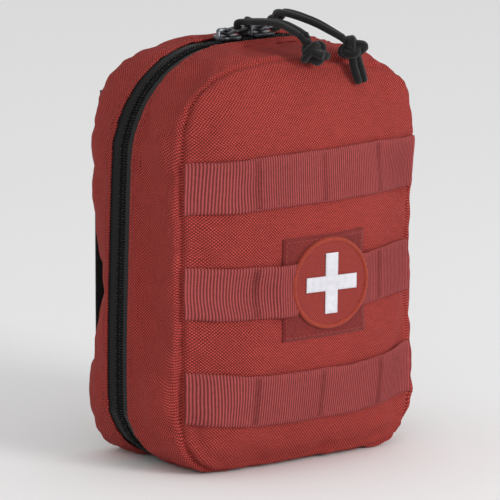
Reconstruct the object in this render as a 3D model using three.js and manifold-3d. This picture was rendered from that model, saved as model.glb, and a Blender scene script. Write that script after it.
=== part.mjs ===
// A soft clamshell first aid pouch, built flat piece by flat piece as it is sewn:
// two crowned and boxed halves joined by a zip that runs round three sides, a fold
// at the bottom for a hinge, load webbing, a removable round patch and two back straps.
// Millimetres, +Z up, +X to the right of someone facing the front, +Y towards the back.
// Inside this file y = 0 is the line between the two rows of zip teeth.

import * as THREE from 'three';
import { mergeVertices } from 'three/addons/utils/BufferGeometryUtils.js';
import Module from 'manifold-3d';

const wasm = await Module();
wasm.setup();

// ---------------------------------------------------------------- driving dimensions

const touch = 0.3; // air left between two pieces that touch

const pouch = {
  width: 152.4,
  height: 203.2,
  frontDepth: 42, // zip teeth to front seam
  backDepth: 34, // zip teeth to the outside of the back
  cornerTop: 50,
  cornerBottom: 28,
  wall: 2, // cloth, foam and lining together
  seamLip: 0.4, // the wall is pinched to this where it turns into a seam
  cornerSteps: 6,
};

// How much narrower each seam is than the zip line, on the sides, top and bottom.
const frontTaper = { side: 7.7, top: 4.5, bottom: 1 };
const backTaper = { side: 4.5, top: 3, bottom: 0.8 };

const zip = {
  bandHalf: 8.5, // cloth edge to teeth
  tapeReach: 12,
  tapeThick: 1,
  tapeSink: 2.3, // tape lies just under the wall
  teethWidth: 2.8,
  teethGap: 1.6, // between the two rows, for the slider's post
  teethRise: 2,
  teethSlope: 0.5,
  endInset: 38.2, // from each side of the pouch to where the zip stops in the base
  stopLength: 6,
  stopThick: 1.2,
};

const panel = {
  rim: 1, // thickness at the front seam
  crown: 18, // how far the stuffed front stands out in the middle
  power: 4.3, // higher is flatter in the middle and rounder at the edge
  centre: 88, // height of the fullest point
  rings: [0.96, 0.91, 0.84, 0.75, 0.63, 0.47, 0.26],
};

const webbing = {
  height: 25.4,
  thick: 1.3,
  pitch: 50.8,
  middle: 91, // height of the middle row
  lift: 0.9, // air behind it
  seamMargin: 1,
  backMargin: 3, // the rear rows end this far inside the back seam
  bow: 0.055, // the stuffed front spreads the upper and lower rows apart
  steps: 18,
};

const field = { side: 50, thick: 1, lift: 0.5, webbingStop: 17.5, overlap: 0.4, ramp: 4 };

const patch = {
  x: 1.7,
  height: 92.5,
  radius: 22.3,
  borderWidth: 1.8,
  borderThick: 3,
  discThick: 1.6,
  backingRadius: 15,
  backingThick: 1.3,
  crossReach: 14.75,
  crossHalf: 3.6,
  crossThick: 0.6,
  turn: 3, // degrees
};

const slider = {
  length: 12,
  width: 11,
  topThick: 1.6,
  bottomThick: 1.2,
  post: 1,
  air: 0.5, // round the teeth and tape
  leftX: -11.5,
  rightX: 8,
  corner: 2.5,
};

const bridge = {
  offset: -2.4, // from the middle of the slider
  opening: 4.4,
  height: 2.6,
  bar: 1.2,
  width: 2.2,
  root: 0.4,
  shoulder: 0.3,
};

const tab = {
  tilt: 10, // degrees up from the slider
  thick: 1.2,
  width: 8,
  pivotBar: 1.2,
  windowLength: 4.4,
  windowWidth: 3.2,
  cordHole: 8.7, // from the pivot
  cordHoleRadius: 2.5,
  length: 12.6, // pivot to the free end
  corner: 1.6,
};

const cord = {
  radius: 1.6,
  wrap: 2.9, // bend round the end bar of the tab
  flatten: 0.9, // the bend is a little lower than it is long
  spread: 1.75, // middle of a strand to the middle of the pair
  sides: 8,
  knotRadius: 7.2,
  tailRadius: 3.2,
};

const strap = {
  width: 25.4,
  thick: 1.4,
  inset: 24.7, // middle of a strap to the side of the pouch
  foot: 12,
  belowTop: 35.2, // where it hinges, measured down from the top
  anchor: 10, // sewn length above the hinge
  hingeAir: 0.4,
  air: 0.5,
};

const snap = { height: 20, capRadius: 6.2, capThick: 1.8, studRadius: 4 };

const bindingWidth = 1.8;
const bindingDepth = 3.6;

const organiser = {
  reach: 22, // how far the elastic stands out from the back panel
  band: 25,
  thick: 1.2,
  divider: 3,
  margin: 28.2, // from each side of the pouch
  lowerHeight: 46,
  upperHeight: 112,
  rollRadius: 9,
  rollLength: 64,
  rollFoot: 24,
  packDepth: 13,
  packHeight: 62,
  packFoot: 97,
  packSlack: 1.75, // each side of a pack in its loop
  packCorner: 4,
};

const pocket = {
  margin: 24.2, // from each side of the pouch
  foot: 22,
  top: 118,
  depth: 16,
  thick: 1,
  wall: 1.5,
  trim: 9,
  packDepth: 12,
  packTop: 134,
  packMargin: 3,
  packCorner: 5,
};

// ---------------------------------------------------------------- shared shapes

const radians = THREE.MathUtils.degToRad;

// The zip stops this far each side of the middle of the base.
const zipEndHalf = pouch.width / 2 - zip.endInset;

// A closed mesh from points and triangles, turned outside out if it came inside out.
function solid(points, triangles) {
  const corner = (index) => new THREE.Vector3(...points[index]);
  let volume = 0;
  for (const [a, b, c] of triangles) volume += corner(a).dot(corner(b).cross(corner(c)));
  const ordered = volume < 0 ? triangles.map(([a, b, c]) => [a, c, b]) : triangles;
  const geometry = new THREE.BufferGeometry();
  geometry.setAttribute('position', new THREE.Float32BufferAttribute(points.flat(), 3));
  geometry.setIndex(ordered.flat());
  return geometry;
}

// The pouch's rounded outline, drawn in by a given amount on the sides, top and bottom.
// It starts left of the fold in the base and runs up the left, over and down the right.
function outlineAt({ side, top, bottom }) {
  const half = pouch.width / 2 - side;
  const ceiling = pouch.height - top;
  const low = pouch.cornerBottom - side;
  const high = pouch.cornerTop - side;
  const left = [[-zipEndHalf, bottom]];
  const quarter = (x, z, radius, start) => {
    for (let step = 0; step <= pouch.cornerSteps; step += 1) {
      const angle = start - (step / pouch.cornerSteps) * (Math.PI / 2);
      left.push([x + radius * Math.cos(angle), z + radius * Math.sin(angle)]);
    }
  };
  quarter(low - half, bottom + low, low, -Math.PI / 2);
  quarter(high - half, ceiling - high, high, Math.PI);
  return [...left, ...left.map(([x, z]) => [-x, z]).reverse()];
}

const inward = (inset, share, taper) => ({
  side: inset + share * taper.side,
  top: inset + share * taper.top,
  bottom: inset + share * taper.bottom,
});

// A band that follows the outline. Its profile is a list of [y, inset, share of the taper].
// An open band leaves out the fold in the base and is capped at both ends.
function band(profile, taper, closed) {
  const loops = profile.map(([y, inset, share]) =>
    outlineAt(inward(inset, share, taper)).map(([x, z]) => [x, y, z]),
  );
  const stations = loops[0].length;
  const at = (loop, station) => (loop % loops.length) * stations + (station % stations);
  const triangles = [];
  for (let loop = 0; loop < loops.length; loop += 1) {
    for (let station = 0; station < (closed ? stations : stations - 1); station += 1) {
      const [a, b] = [at(loop, station), at(loop, station + 1)];
      const [c, d] = [at(loop + 1, station), at(loop + 1, station + 1)];
      triangles.push([a, b, d], [a, d, c]);
    }
  }
  if (!closed) {
    for (let loop = 1; loop < loops.length - 1; loop += 1) {
      triangles.push([at(0, 0), at(loop, 0), at(loop + 1, 0)]);
      const last = stations - 1;
      triangles.push([at(0, last), at(loop + 1, last), at(loop, last)]);
    }
  }
  return solid(loops.flat(), triangles);
}

// A thin sheet between two surfaces sampled on the same grid of x and z.
function sheet(xs, zs, front, back) {
  const points = [];
  for (const surface of [front, back]) {
    for (const x of xs) for (const z of zs) points.push(surface(x, z));
  }
  const [rows, columns] = [zs.length, xs.length];
  const at = (face, column, row) => (face * columns + column) * rows + row;
  const triangles = [];
  const quad = (a, b, c, d) => triangles.push([a, b, c], [a, c, d]);
  for (let i = 0; i < columns - 1; i += 1) {
    for (let j = 0; j < rows - 1; j += 1) {
      quad(at(0, i, j), at(0, i + 1, j), at(0, i + 1, j + 1), at(0, i, j + 1));
      quad(at(1, i, j), at(1, i, j + 1), at(1, i + 1, j + 1), at(1, i + 1, j));
    }
  }
  for (let i = 0; i < columns - 1; i += 1) {
    quad(at(0, i, 0), at(1, i, 0), at(1, i + 1, 0), at(0, i + 1, 0));
    quad(at(0, i, rows - 1), at(0, i + 1, rows - 1), at(1, i + 1, rows - 1), at(1, i, rows - 1));
  }
  const end = columns - 1;
  for (let j = 0; j < rows - 1; j += 1) {
    quad(at(0, 0, j), at(0, 0, j + 1), at(1, 0, j + 1), at(1, 0, j));
    quad(at(0, end, j), at(1, end, j), at(1, end, j + 1), at(0, end, j + 1));
  }
  return solid(points, triangles);
}

const spaced = (from, to, steps) =>
  Array.from({ length: steps + 1 }, (_, step) => from + ((to - from) * step) / steps);

const polygon = (points) => new THREE.Shape(points.map(([x, y]) => new THREE.Vector2(x, y)));

const rectangle = (x0, y0, x1, y1) => polygon([[x0, y0], [x1, y0], [x1, y1], [x0, y1]]);

function roundedRectangle(x0, y0, x1, y1, radius) {
  const shape = new THREE.Shape();
  shape.moveTo(x0 + radius, y0);
  shape.lineTo(x1 - radius, y0);
  shape.absarc(x1 - radius, y0 + radius, radius, -Math.PI / 2, 0, false);
  shape.lineTo(x1, y1 - radius);
  shape.absarc(x1 - radius, y1 - radius, radius, 0, Math.PI / 2, false);
  shape.lineTo(x0 + radius, y1);
  shape.absarc(x0 + radius, y1 - radius, radius, Math.PI / 2, Math.PI, false);
  shape.lineTo(x0, y0 + radius);
  shape.absarc(x0 + radius, y0 + radius, radius, Math.PI, 1.5 * Math.PI, false);
  return shape;
}

const extruded = (shape, depth, curveSegments) =>
  new THREE.ExtrudeGeometry(shape, { depth, bevelEnabled: false, curveSegments });

// A shape drawn in x, z and given thickness from y0 back to y1.
const alongY = (shape, y0, y1, curveSegments = 4) =>
  extruded(shape, y1 - y0, curveSegments).rotateX(Math.PI / 2).translate(0, y1, 0);

// A shape drawn in x, y and raised from z0 to z1.
const alongZ = (shape, z0, z1, curveSegments = 4) =>
  extruded(shape, z1 - z0, curveSegments).translate(0, 0, z0);

// A shape drawn in y, z and drawn out from x0 to x1.
function alongX(shape, x0, x1, curveSegments = 4) {
  const axes = new THREE.Matrix4().makeBasis(
    new THREE.Vector3(0, 1, 0),
    new THREE.Vector3(0, 0, 1),
    new THREE.Vector3(1, 0, 0),
  );
  return extruded(shape, x1 - x0, curveSegments).applyMatrix4(axes).translate(x0, 0, 0);
}

// A round flat piece facing the front, from y0 back to y1.
function disc(radius, y0, y1, sides = 28) {
  const profile = [[0, y0], [radius, y0], [radius, y1], [0, y1]];
  return new THREE.LatheGeometry(profile.map(([r, y]) => new THREE.Vector2(r, y)), sides);
}

const box = (x0, y0, z0, x1, y1, z1) => alongY(rectangle(x0, z0, x1, z1), y0, y1);

function toSolid(geometry) {
  const plain = geometry.clone();
  plain.deleteAttribute('normal');
  plain.deleteAttribute('uv');
  const merged = mergeVertices(plain, 1e-4);
  const vertProperties = new Float32Array(merged.attributes.position.array);
  const triVerts = new Uint32Array(merged.index.array);
  return new wasm.Manifold(new wasm.Mesh({ numProp: 3, vertProperties, triVerts }));
}

function fromSolid(body) {
  const mesh = body.getMesh();
  const geometry = new THREE.BufferGeometry();
  geometry.setAttribute('position', new THREE.BufferAttribute(mesh.vertProperties, 3));
  geometry.setIndex(new THREE.BufferAttribute(mesh.triVerts, 1));
  return geometry;
}

const joined = (first, second) => fromSolid(toSolid(first).add(toSolid(second)));

const common = (first, second) => fromSolid(toSolid(first).intersect(toSolid(second)));

const cutFrom = (block, cutters) =>
  fromSolid(cutters.reduce((body, cutter) => body.subtract(toSolid(cutter)), toSolid(block)));

// ---------------------------------------------------------------- the object and its colours

const object = new THREE.Group();

const finish = {
  redCloth: { color: 0x9a3838, roughness: 0.9, metalness: 0 },
  redWebbing: { color: 0x8c3a3e, roughness: 0.85, metalness: 0 },
  redLoop: { color: 0x7c2f2f, roughness: 1, metalness: 0 },
  patchRed: { color: 0xa03a30, roughness: 0.8, metalness: 0 },
  patchBorder: { color: 0xb85238, roughness: 0.7, metalness: 0 },
  whiteThread: { color: 0xeeeef2, roughness: 0.6, metalness: 0 },
  blackCloth: { color: 0x161617, roughness: 0.85, metalness: 0 },
  blackTeeth: { color: 0x1c1c1e, roughness: 0.4, metalness: 0 },
  blackCord: { color: 0x181819, roughness: 0.8, metalness: 0 },
  darkMetal: { color: 0x3a3c40, roughness: 0.4, metalness: 0.9 },
  blackMesh: { color: 0x232325, roughness: 0.8, metalness: 0 },
  gauze: { color: 0xe9e6dc, roughness: 0.95, metalness: 0 },
  wrapper: { color: 0xd8dde0, roughness: 0.5, metalness: 0 },
};

function place(parent, name, geometry, look) {
  const mesh = new THREE.Mesh(geometry, new THREE.MeshStandardMaterial(finish[look]));
  mesh.name = name;
  parent.add(mesh);
  return mesh;
}

// ---------------------------------------------------------------- front and back walls

const frontSeam = -pouch.frontDepth;
const backFace = pouch.backDepth;

// Outer line of the front wall, easing in towards the seam. Each entry is [y, share].
const frontEase = [
  [-zip.bandHalf, 0], [frontSeam + 22, 0], [frontSeam + 12, 0.08],
  [frontSeam + 5.5, 0.3], [frontSeam + 1.8, 0.62], [frontSeam, 1],
];
const backEase = [
  [zip.bandHalf, 0], [backFace - 14, 0], [backFace - 7, 0.12],
  [backFace - 2.4, 0.42], [backFace, 1],
];

// A wall's profile: the outer line out, and the same line one wall further in coming back.
// Turn is the way from the seam to the zip: 1 on the front half, -1 on the back half.
function wallProfile(ease, turn) {
  const outer = ease.map(([y, share]) => [y, 0, share]);
  const inner = ease.map(([y, share]) => {
    const inset = THREE.MathUtils.lerp(pouch.wall, pouch.seamLip, share);
    return [y + turn * share * pouch.wall, inset, share];
  });
  return [...outer, ...inner.reverse()];
}

const frontHalf = new THREE.Group();
const backHalf = new THREE.Group();
object.add(frontHalf, backHalf);

place(frontHalf, 'front_gusset', band(wallProfile(frontEase, 1), frontTaper, true), 'redCloth');
place(backHalf, 'back_gusset', band(wallProfile(backEase, -1), backTaper, true), 'redCloth');

// ---------------------------------------------------------------- front panel

const seamOutline = outlineAt(inward(touch, 1, frontTaper));
const panelBack = frontSeam - touch;
const panelRim = panelBack - panel.rim;

// How far out from the middle of the panel a point lies: 0 at the middle, 1 at the seam.
function reachOut(x, z) {
  const [dx, dz] = [x, z - panel.centre];
  let reach = 0;
  seamOutline.forEach(([ax, az], index) => {
    const [bx, bz] = seamOutline[(index + 1) % seamOutline.length];
    const [ex, ez] = [bx - ax, bz - az];
    const along = dx * ez - dz * ex;
    const scale = (ax * ez - (az - panel.centre) * ex) / along;
    const share = (ax * dz - (az - panel.centre) * dx) / along;
    if (along !== 0 && scale > 0 && share >= -1e-9 && share <= 1 + 1e-9) reach = 1 / scale;
  });
  return reach;
}

const crownAt = (reach) => panel.crown * (1 - reach ** panel.power);

const frontSurface = (x, z) => panelRim - crownAt(Math.min(1, reachOut(x, z)));

function crownedPanel() {
  const scaled = (reach, y) =>
    seamOutline.map(([x, z]) => [x * reach, y, panel.centre + (z - panel.centre) * reach]);
  const loops = [scaled(1, panelBack), scaled(1, panelRim)];
  for (const reach of panel.rings) loops.push(scaled(reach, panelRim - crownAt(reach)));
  const stations = seamOutline.length;
  const points = loops.flat();
  const middle = points.push([0, panelRim - panel.crown, panel.centre]) - 1;
  const behind = points.push([0, panelBack, panel.centre]) - 1;
  const triangles = [];
  for (let station = 0; station < stations; station += 1) {
    const next = (station + 1) % stations;
    for (let loop = 0; loop < loops.length - 1; loop += 1) {
      const [low, high] = [loop * stations, (loop + 1) * stations];
      triangles.push([low + station, low + next, high + next]);
      triangles.push([low + station, high + next, high + station]);
    }
    const last = (loops.length - 1) * stations;
    triangles.push([last + station, last + next, middle]);
    triangles.push([next, station, behind]);
  }
  return solid(points, triangles);
}

place(frontHalf, 'front_panel', crownedPanel(), 'redCloth');

// ---------------------------------------------------------------- back panel

const backInset = inward(pouch.seamLip + touch, 1, backTaper);
const backPanelFront = backFace - pouch.wall + touch;

const backPanel = alongY(polygon(outlineAt(backInset)), backPanelFront, backFace);
place(backHalf, 'back_panel', backPanel, 'redCloth');

// ---------------------------------------------------------------- seam bindings inside

// A square-edged tape folded over the raw seam, one wall and a gap in from the cloth.
function bindingProfile(from, to) {
  const near = pouch.wall + 2 * touch;
  return [[from, near, 1], [from, near + bindingWidth, 1], [to, near + bindingWidth, 1], [to, near, 1]];
}

place(
  frontHalf,
  'front_binding',
  band(bindingProfile(frontSeam + touch, frontSeam + bindingDepth), frontTaper, true),
  'blackCloth',
);
place(
  backHalf,
  'back_binding',
  band(bindingProfile(backPanelFront - touch, backPanelFront - bindingDepth), backTaper, true),
  'blackCloth',
);

// ---------------------------------------------------------------- zip tapes, teeth and stops

const teethNear = zip.teethGap / 2;
const teethFar = teethNear + zip.teethWidth;
const teethFoot = zip.tapeSink - touch;
const tapeInner = zip.tapeSink + zip.tapeThick;

// One side of the zip; side is -1 at the front and 1 at the back.
function zipSide(parent, label, side) {
  const [near, far] = [side * teethNear, side * zip.tapeReach];
  const tape = [[near, zip.tapeSink, 0], [far, zip.tapeSink, 0], [far, tapeInner, 0], [near, tapeInner, 0]];
  place(parent, `zip_tape_${label}`, band(tape, frontTaper, false), 'blackCloth');
  const top = teethFoot - zip.teethRise + touch;
  const teeth = [
    [near, teethFoot, 0],
    [side * teethFar, teethFoot, 0],
    [side * (teethFar - zip.teethSlope), top, 0],
    [near, top, 0],
  ];
  place(parent, `zip_teeth_${label}`, band(teeth, frontTaper, false), 'blackTeeth');
}

zipSide(frontHalf, 'front', -1);
zipSide(backHalf, 'back', 1);

const stopBottom = tapeInner + touch;
for (const [label, side] of [['left', -1], ['right', 1]]) {
  const inner = side * (zipEndHalf + touch);
  const outer = inner + side * zip.stopLength;
  const [x0, x1] = [Math.min(inner, outer), Math.max(inner, outer)];
  const stop = box(x0, teethNear, stopBottom, x1, zip.bandHalf, stopBottom + zip.stopThick);
  place(backHalf, `zip_stop_${label}`, stop, 'blackCloth');
}

// ---------------------------------------------------------------- fold in the base

// The cloth that joins the halves between the two ends of the zip, half of it on each side.
const foldHalf = zipEndHalf - touch;
const foldEdge = zip.bandHalf - touch;
const frontFold = box(-foldHalf, -foldEdge, 0, foldHalf, -teethNear, pouch.wall);
const backFold = box(-foldHalf, teethNear, 0, foldHalf, foldEdge, pouch.wall);
place(frontHalf, 'hinge_flap', frontFold, 'redCloth');
place(backHalf, 'bottom_hinge', backFold, 'redCloth');

// ---------------------------------------------------------------- front webbing and loop field

const seamHalf = pouch.width / 2 - frontTaper.side;
const webbingEnd = seamHalf - webbing.seamMargin;

const rowHeights = {
  lower: webbing.middle - webbing.pitch,
  middle: webbing.middle,
  upper: webbing.middle + webbing.pitch,
};

const bowed = (x, z) => z + webbing.bow * (z - webbing.middle) * (1 - (x / seamHalf) ** 2);

const overField = field.lift + field.thick + field.overlap;

// The middle row rises over the edge of the loop field; the other rows keep one height.
function liftAt(x, crossesField) {
  const past = (Math.abs(x) - field.side / 2) / field.ramp;
  const share = crossesField ? THREE.MathUtils.clamp(1.5 - past, 0, 1) : 0;
  return webbing.lift + share * (overField - webbing.lift);
}

function webbingStrip(from, to, height, crossesField) {
  const crowd = (x) => webbingEnd * Math.sin((x * Math.PI) / 2);
  const [start, end] = [from, to].map((x) => Math.asin(x / webbingEnd) / (Math.PI / 2));
  const steps = Math.ceil((webbing.steps * (end - start)) / 2);
  const xs = spaced(start, end, steps).map(crowd);
  const zs = spaced(height - webbing.height / 2, height + webbing.height / 2, 2);
  const surface = (extra) => (x, z) => {
    const up = bowed(x, z);
    return [x, frontSurface(x, up) - liftAt(x, crossesField) - extra, up];
  };
  return sheet(xs, zs, surface(webbing.thick), surface(0));
}

for (const row of ['upper', 'lower']) {
  const strip = webbingStrip(-webbingEnd, webbingEnd, rowHeights[row], false);
  place(frontHalf, `webbing_${row}`, strip, 'redWebbing');
}
const leftStrip = webbingStrip(-webbingEnd, -field.webbingStop, rowHeights.middle, true);
place(frontHalf, 'webbing_middle_left', leftStrip, 'redWebbing');
const rightStrip = webbingStrip(field.webbingStop, webbingEnd, rowHeights.middle, true);
place(frontHalf, 'webbing_middle_right', rightStrip, 'redWebbing');

function loopField() {
  const xs = spaced(-field.side / 2, field.side / 2, 4);
  const zs = spaced(webbing.middle - field.side / 2, webbing.middle + field.side / 2, 4);
  const surface = (lift) => (x, z) => [x, frontSurface(x, z) - lift, z];
  return sheet(xs, zs, surface(field.lift + field.thick), surface(field.lift));
}

place(frontHalf, 'loop_field', loopField(), 'redLoop');

// ---------------------------------------------------------------- round patch

// The patch is drawn about its own centre and then set on the loop field.
const patchGroup = new THREE.Group();
const fieldFace = frontSurface(patch.x, patch.height) - field.lift - field.thick;
patchGroup.position.set(patch.x, fieldFace - touch, patch.height);
patchGroup.rotation.y = radians(patch.turn);
object.add(patchGroup);

const backingFront = -patch.backingThick;
const borderBehind = (patch.borderThick - patch.discThick) / 2;
const aboveWebbing = -(field.overlap + webbing.thick + touch + borderBehind);
const discBack = Math.min(backingFront - touch, aboveWebbing);
const discFront = discBack - patch.discThick;

place(patchGroup, 'patch_backing', disc(patch.backingRadius, backingFront, 0), 'blackCloth');
const discRadius = patch.radius - patch.borderWidth - touch;
place(patchGroup, 'patch_disc', disc(discRadius, discFront, discBack), 'patchRed');

function mergedEdge() {
  const middle = (discBack + discFront) / 2;
  const centre = patch.radius - patch.borderWidth / 2;
  const profile = spaced(0, 2 * Math.PI, 8).map((angle) => [
    centre + (patch.borderWidth / 2) * Math.cos(angle),
    middle + (patch.borderThick / 2) * Math.sin(angle),
  ]);
  profile[profile.length - 1] = profile[0];
  return new THREE.LatheGeometry(profile.map(([r, y]) => new THREE.Vector2(r, y)), 36);
}

place(patchGroup, 'patch_border', mergedEdge(), 'patchBorder');

function crossShape() {
  const [far, near] = [patch.crossReach, patch.crossHalf];
  const arm = [[near, near], [far, near], [far, -near]];
  const corners = [0, 1, 2, 3].flatMap((quarter) =>
    arm.map(([x, z]) => {
      const angle = (-quarter * Math.PI) / 2;
      return [x * Math.cos(angle) - z * Math.sin(angle), x * Math.sin(angle) + z * Math.cos(angle)];
    }),
  );
  return polygon(corners);
}

const crossBack = discFront - touch;
const crossFront = crossBack - patch.crossThick;
place(patchGroup, 'patch_cross', alongY(crossShape(), crossFront, crossBack), 'whiteThread');

// ---------------------------------------------------------------- zip sliders

const teethTop = pouch.height - (teethFoot - zip.teethRise + touch);
const plateFoot = teethTop + slider.air;
const plateTop = plateFoot + slider.topThick;
const keelTop = pouch.height - tapeInner - slider.air;
const keelFoot = keelTop - slider.bottomThick;

// Two plates and the post that parts the teeth, with a small bridge for the pull.
function sliderBody(x) {
  const [half, post] = [slider.width / 2, slider.post / 2];
  const section = polygon([
    [-half, keelFoot], [half, keelFoot], [half, keelTop], [post, keelTop],
    [post, plateFoot], [half, plateFoot], [half, plateTop], [-half, plateTop],
    [-half, plateFoot], [-post, plateFoot], [-post, keelTop], [-half, keelTop],
  ]);
  const [end, past] = [slider.length / 2, slider.length];
  const bar = alongX(section, x - end, x + end);
  const plan = roundedRectangle(x - end, -half, x + end, half, slider.corner);
  return common(bar, alongZ(plan, keelFoot - past, plateTop + past));
}

function bridgeArch(x) {
  const [inner, outer] = [bridge.opening / 2, bridge.opening / 2 + bridge.bar];
  const [foot, crest] = [plateTop - bridge.root, plateTop + bridge.height];
  const shoulder = crest + bridge.shoulder;
  const arch = polygon([
    [x - outer, foot], [x - inner, foot], [x - inner, crest], [x + inner, crest],
    [x + inner, foot], [x + outer, foot], [x + outer, shoulder],
    [x + inner, crest + bridge.bar], [x - inner, crest + bridge.bar], [x - outer, shoulder],
  ]);
  return alongY(arch, -bridge.width / 2, bridge.width / 2);
}

const pivotHeight = plateTop + bridge.height / 2;

// A flat metal tab with a window for the bridge and a round eye for the cord.
function pullTab() {
  const half = tab.width / 2;
  const front = tab.pivotBar / 2;
  const shape = roundedRectangle(-front, -half, tab.length, half, tab.corner);
  const window = rectangle(front, -tab.windowWidth / 2, front + tab.windowLength, tab.windowWidth / 2);
  const eye = new THREE.Path().absarc(tab.cordHole, 0, tab.cordHoleRadius, 0, 2 * Math.PI, true);
  shape.holes.push(window, eye);
  return alongZ(shape, -tab.thick / 2, tab.thick / 2, 6);
}

// ---------------------------------------------------------------- pull cords

// Each cord is looped through its tab's eye. Both strands run forward over the top and end in a
// knot that hangs over the front edge. The middle line of the pair is a list chosen by hand: x
// from the slider, y, and z from the top of the pouch.
const pulls = {
  left: {
    x: slider.leftX,
    line: [
      [9.4, -5, 8.4], [9.8, -12, 9.2], [10.5, -20, 10], [11.2, -30, 10.2],
      [11.7, -40, 8.4], [12.1, -45.8, 6.6],
    ],
    knot: [14.5, -50, -1],
    tailEnd: [15.3, -60, -2],
  },
  right: {
    x: slider.rightX,
    line: [
      [7.5, -5, 9.4], [3.2, -12, 12.4], [0.8, -19, 13.8], [1.4, -29, 13.4],
      [5.2, -39, 10.8], [10.4, -45.2, 6.8], [13.9, -47.8, 4.2],
    ],
    knot: [19, -50, -1.2],
    tailEnd: [21.7, -54, -18.2],
  },
};

const fromTop = (pull, [x, y, z]) => new THREE.Vector3(pull.x + x, y, pouch.height + z);

// The strands lie side by side, so each is the middle line moved across it, level with the ground.
function strand(line, side) {
  const curve = new THREE.CatmullRomCurve3(line);
  return line.map((point, index) => {
    const ahead = curve.getTangent(index / (line.length - 1));
    const across = new THREE.Vector3(-ahead.y, ahead.x, 0).normalize();
    return point.clone().addScaledVector(across, side * cord.spread);
  });
}

function cordGeometry(pull, eyeBar, along, up) {
  const line = pull.line.map((point) => fromTop(pull, point));
  const round = (share, rise) => {
    const angle = (share * Math.PI) / 2;
    const point = eyeBar.clone().addScaledVector(along, cord.wrap * Math.sin(angle));
    return point.addScaledVector(up, rise - cord.wrap * cord.flatten * Math.cos(angle));
  };
  const under = [-1, -0.7, 0, 0.7, 1].map((share) => round(share, 0));
  const clear = cord.radius + tab.thick;
  const loop = [round(-1, clear), ...under, round(1, clear)];
  const path = [...strand(line, -1).reverse(), ...loop, ...strand(line, 1)];
  const curve = new THREE.CatmullRomCurve3(path, false, 'centripetal');
  const section = new THREE.Shape().absarc(0, 0, cord.radius, 0, 2 * Math.PI, false);
  const steps = Math.round(curve.getLength() / (2 * cord.radius));
  const settings = { steps, extrudePath: curve, bevelEnabled: false, curveSegments: cord.sides / 2 };
  return new THREE.ExtrudeGeometry(section, settings);
}

function knotGeometry(pull) {
  const centre = fromTop(pull, pull.knot);
  const end = fromTop(pull, pull.tailEnd);
  const ball = new THREE.SphereGeometry(cord.knotRadius, 14, 9).translate(...centre.toArray());
  const length = centre.distanceTo(end);
  const tail = new THREE.CylinderGeometry(cord.tailRadius, cord.tailRadius, length, cord.sides);
  const direction = end.clone().sub(centre).normalize();
  tail.applyQuaternion(new THREE.Quaternion().setFromUnitVectors(new THREE.Vector3(0, 1, 0), direction));
  const middle = centre.add(end).multiplyScalar(0.5);
  tail.translate(middle.x, middle.y, middle.z);
  return joined(ball, tail);
}

for (const [label, pull] of Object.entries(pulls)) {
  const pivotX = pull.x + bridge.offset;
  place(object, `slider_${label}`, joined(sliderBody(pull.x), bridgeArch(pivotX)), 'darkMetal');
  const tabMesh = place(object, `pull_tab_${label}`, pullTab(), 'darkMetal');
  tabMesh.position.set(pivotX, 0, pivotHeight);
  tabMesh.rotation.y = -radians(tab.tilt);
  const along = new THREE.Vector3(1, 0, 0).applyEuler(tabMesh.rotation);
  const up = new THREE.Vector3(0, 0, 1).applyEuler(tabMesh.rotation);
  const barMiddle = (tab.cordHole + tab.cordHoleRadius + tab.length) / 2;
  const eyeBar = tabMesh.position.clone().addScaledVector(along, barMiddle);
  place(object, `pull_cord_${label}`, cordGeometry(pull, eyeBar, along, up), 'blackCord');
  place(object, `pull_knot_${label}`, knotGeometry(pull), 'blackCord');
}

// ---------------------------------------------------------------- back webbing and straps

const webbingBack = backFace + touch;
const strapInner = webbingBack + webbing.thick + strap.air;
const strapOuter = strapInner + strap.thick;
const backHalfWidth = pouch.width / 2 - backTaper.side - webbing.backMargin;
const strapHinge = pouch.height - strap.belowTop;

for (const [row, height] of Object.entries(rowHeights)) {
  const [low, high] = [height - webbing.height / 2, height + webbing.height / 2];
  const strip = box(-backHalfWidth, webbingBack, low, backHalfWidth, webbingBack + webbing.thick, high);
  place(backHalf, `back_webbing_${row}`, strip, 'redWebbing');
}

for (const [label, side] of [['left', -1], ['right', 1]]) {
  const x = side * (pouch.width / 2 - strap.inset);
  const [x0, x1] = [x - strap.width / 2, x + strap.width / 2];
  const length = box(x0, strapInner, strap.foot, x1, strapOuter, strapHinge - strap.hingeAir);
  place(object, `strap_${label}`, length, 'blackCloth');
  const anchor = box(x0, webbingBack, strapHinge, x1, strapOuter, strapHinge + strap.anchor);
  place(backHalf, `strap_anchor_${label}`, anchor, 'blackCloth');
  const stud = disc(snap.studRadius, webbingBack, strapInner - touch, 20);
  place(backHalf, `snap_stud_${label}`, stud, 'darkMetal').position.set(x, 0, snap.height);
  const cap = disc(snap.capRadius, strapOuter + touch, strapOuter + touch + snap.capThick, 24);
  place(object, `snap_cap_${label}`, cap, 'darkMetal').position.set(x, 0, snap.height);
}

// ---------------------------------------------------------------- elastic loops and what they hold

const organiserBack = backPanelFront - touch;
const organiserFront = organiserBack - organiser.reach;
const organiserHalf = pouch.width / 2 - organiser.margin;

// A band of elastic sewn down between its loops, seen from above as a row of windows.
function elasticBand(loops, height) {
  const { thick, divider } = organiser;
  const half = organiserHalf;
  const [low, high] = [height - organiser.band / 2, height + organiser.band / 2];
  const width = (2 * half - divider * (loops + 1)) / loops;
  const windows = spaced(-half + divider, half - width - divider, loops - 1).map((x) =>
    box(x, organiserFront + thick, low - 1, x + width, organiserBack - thick, high + 1),
  );
  return cutFrom(box(-half, organiserFront, low, half, organiserBack, high), windows);
}

place(backHalf, 'elastic_loops_lower', elasticBand(3, organiser.lowerHeight), 'blackCloth');
place(backHalf, 'elastic_loops_upper', elasticBand(2, organiser.upperHeight), 'blackCloth');

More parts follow.
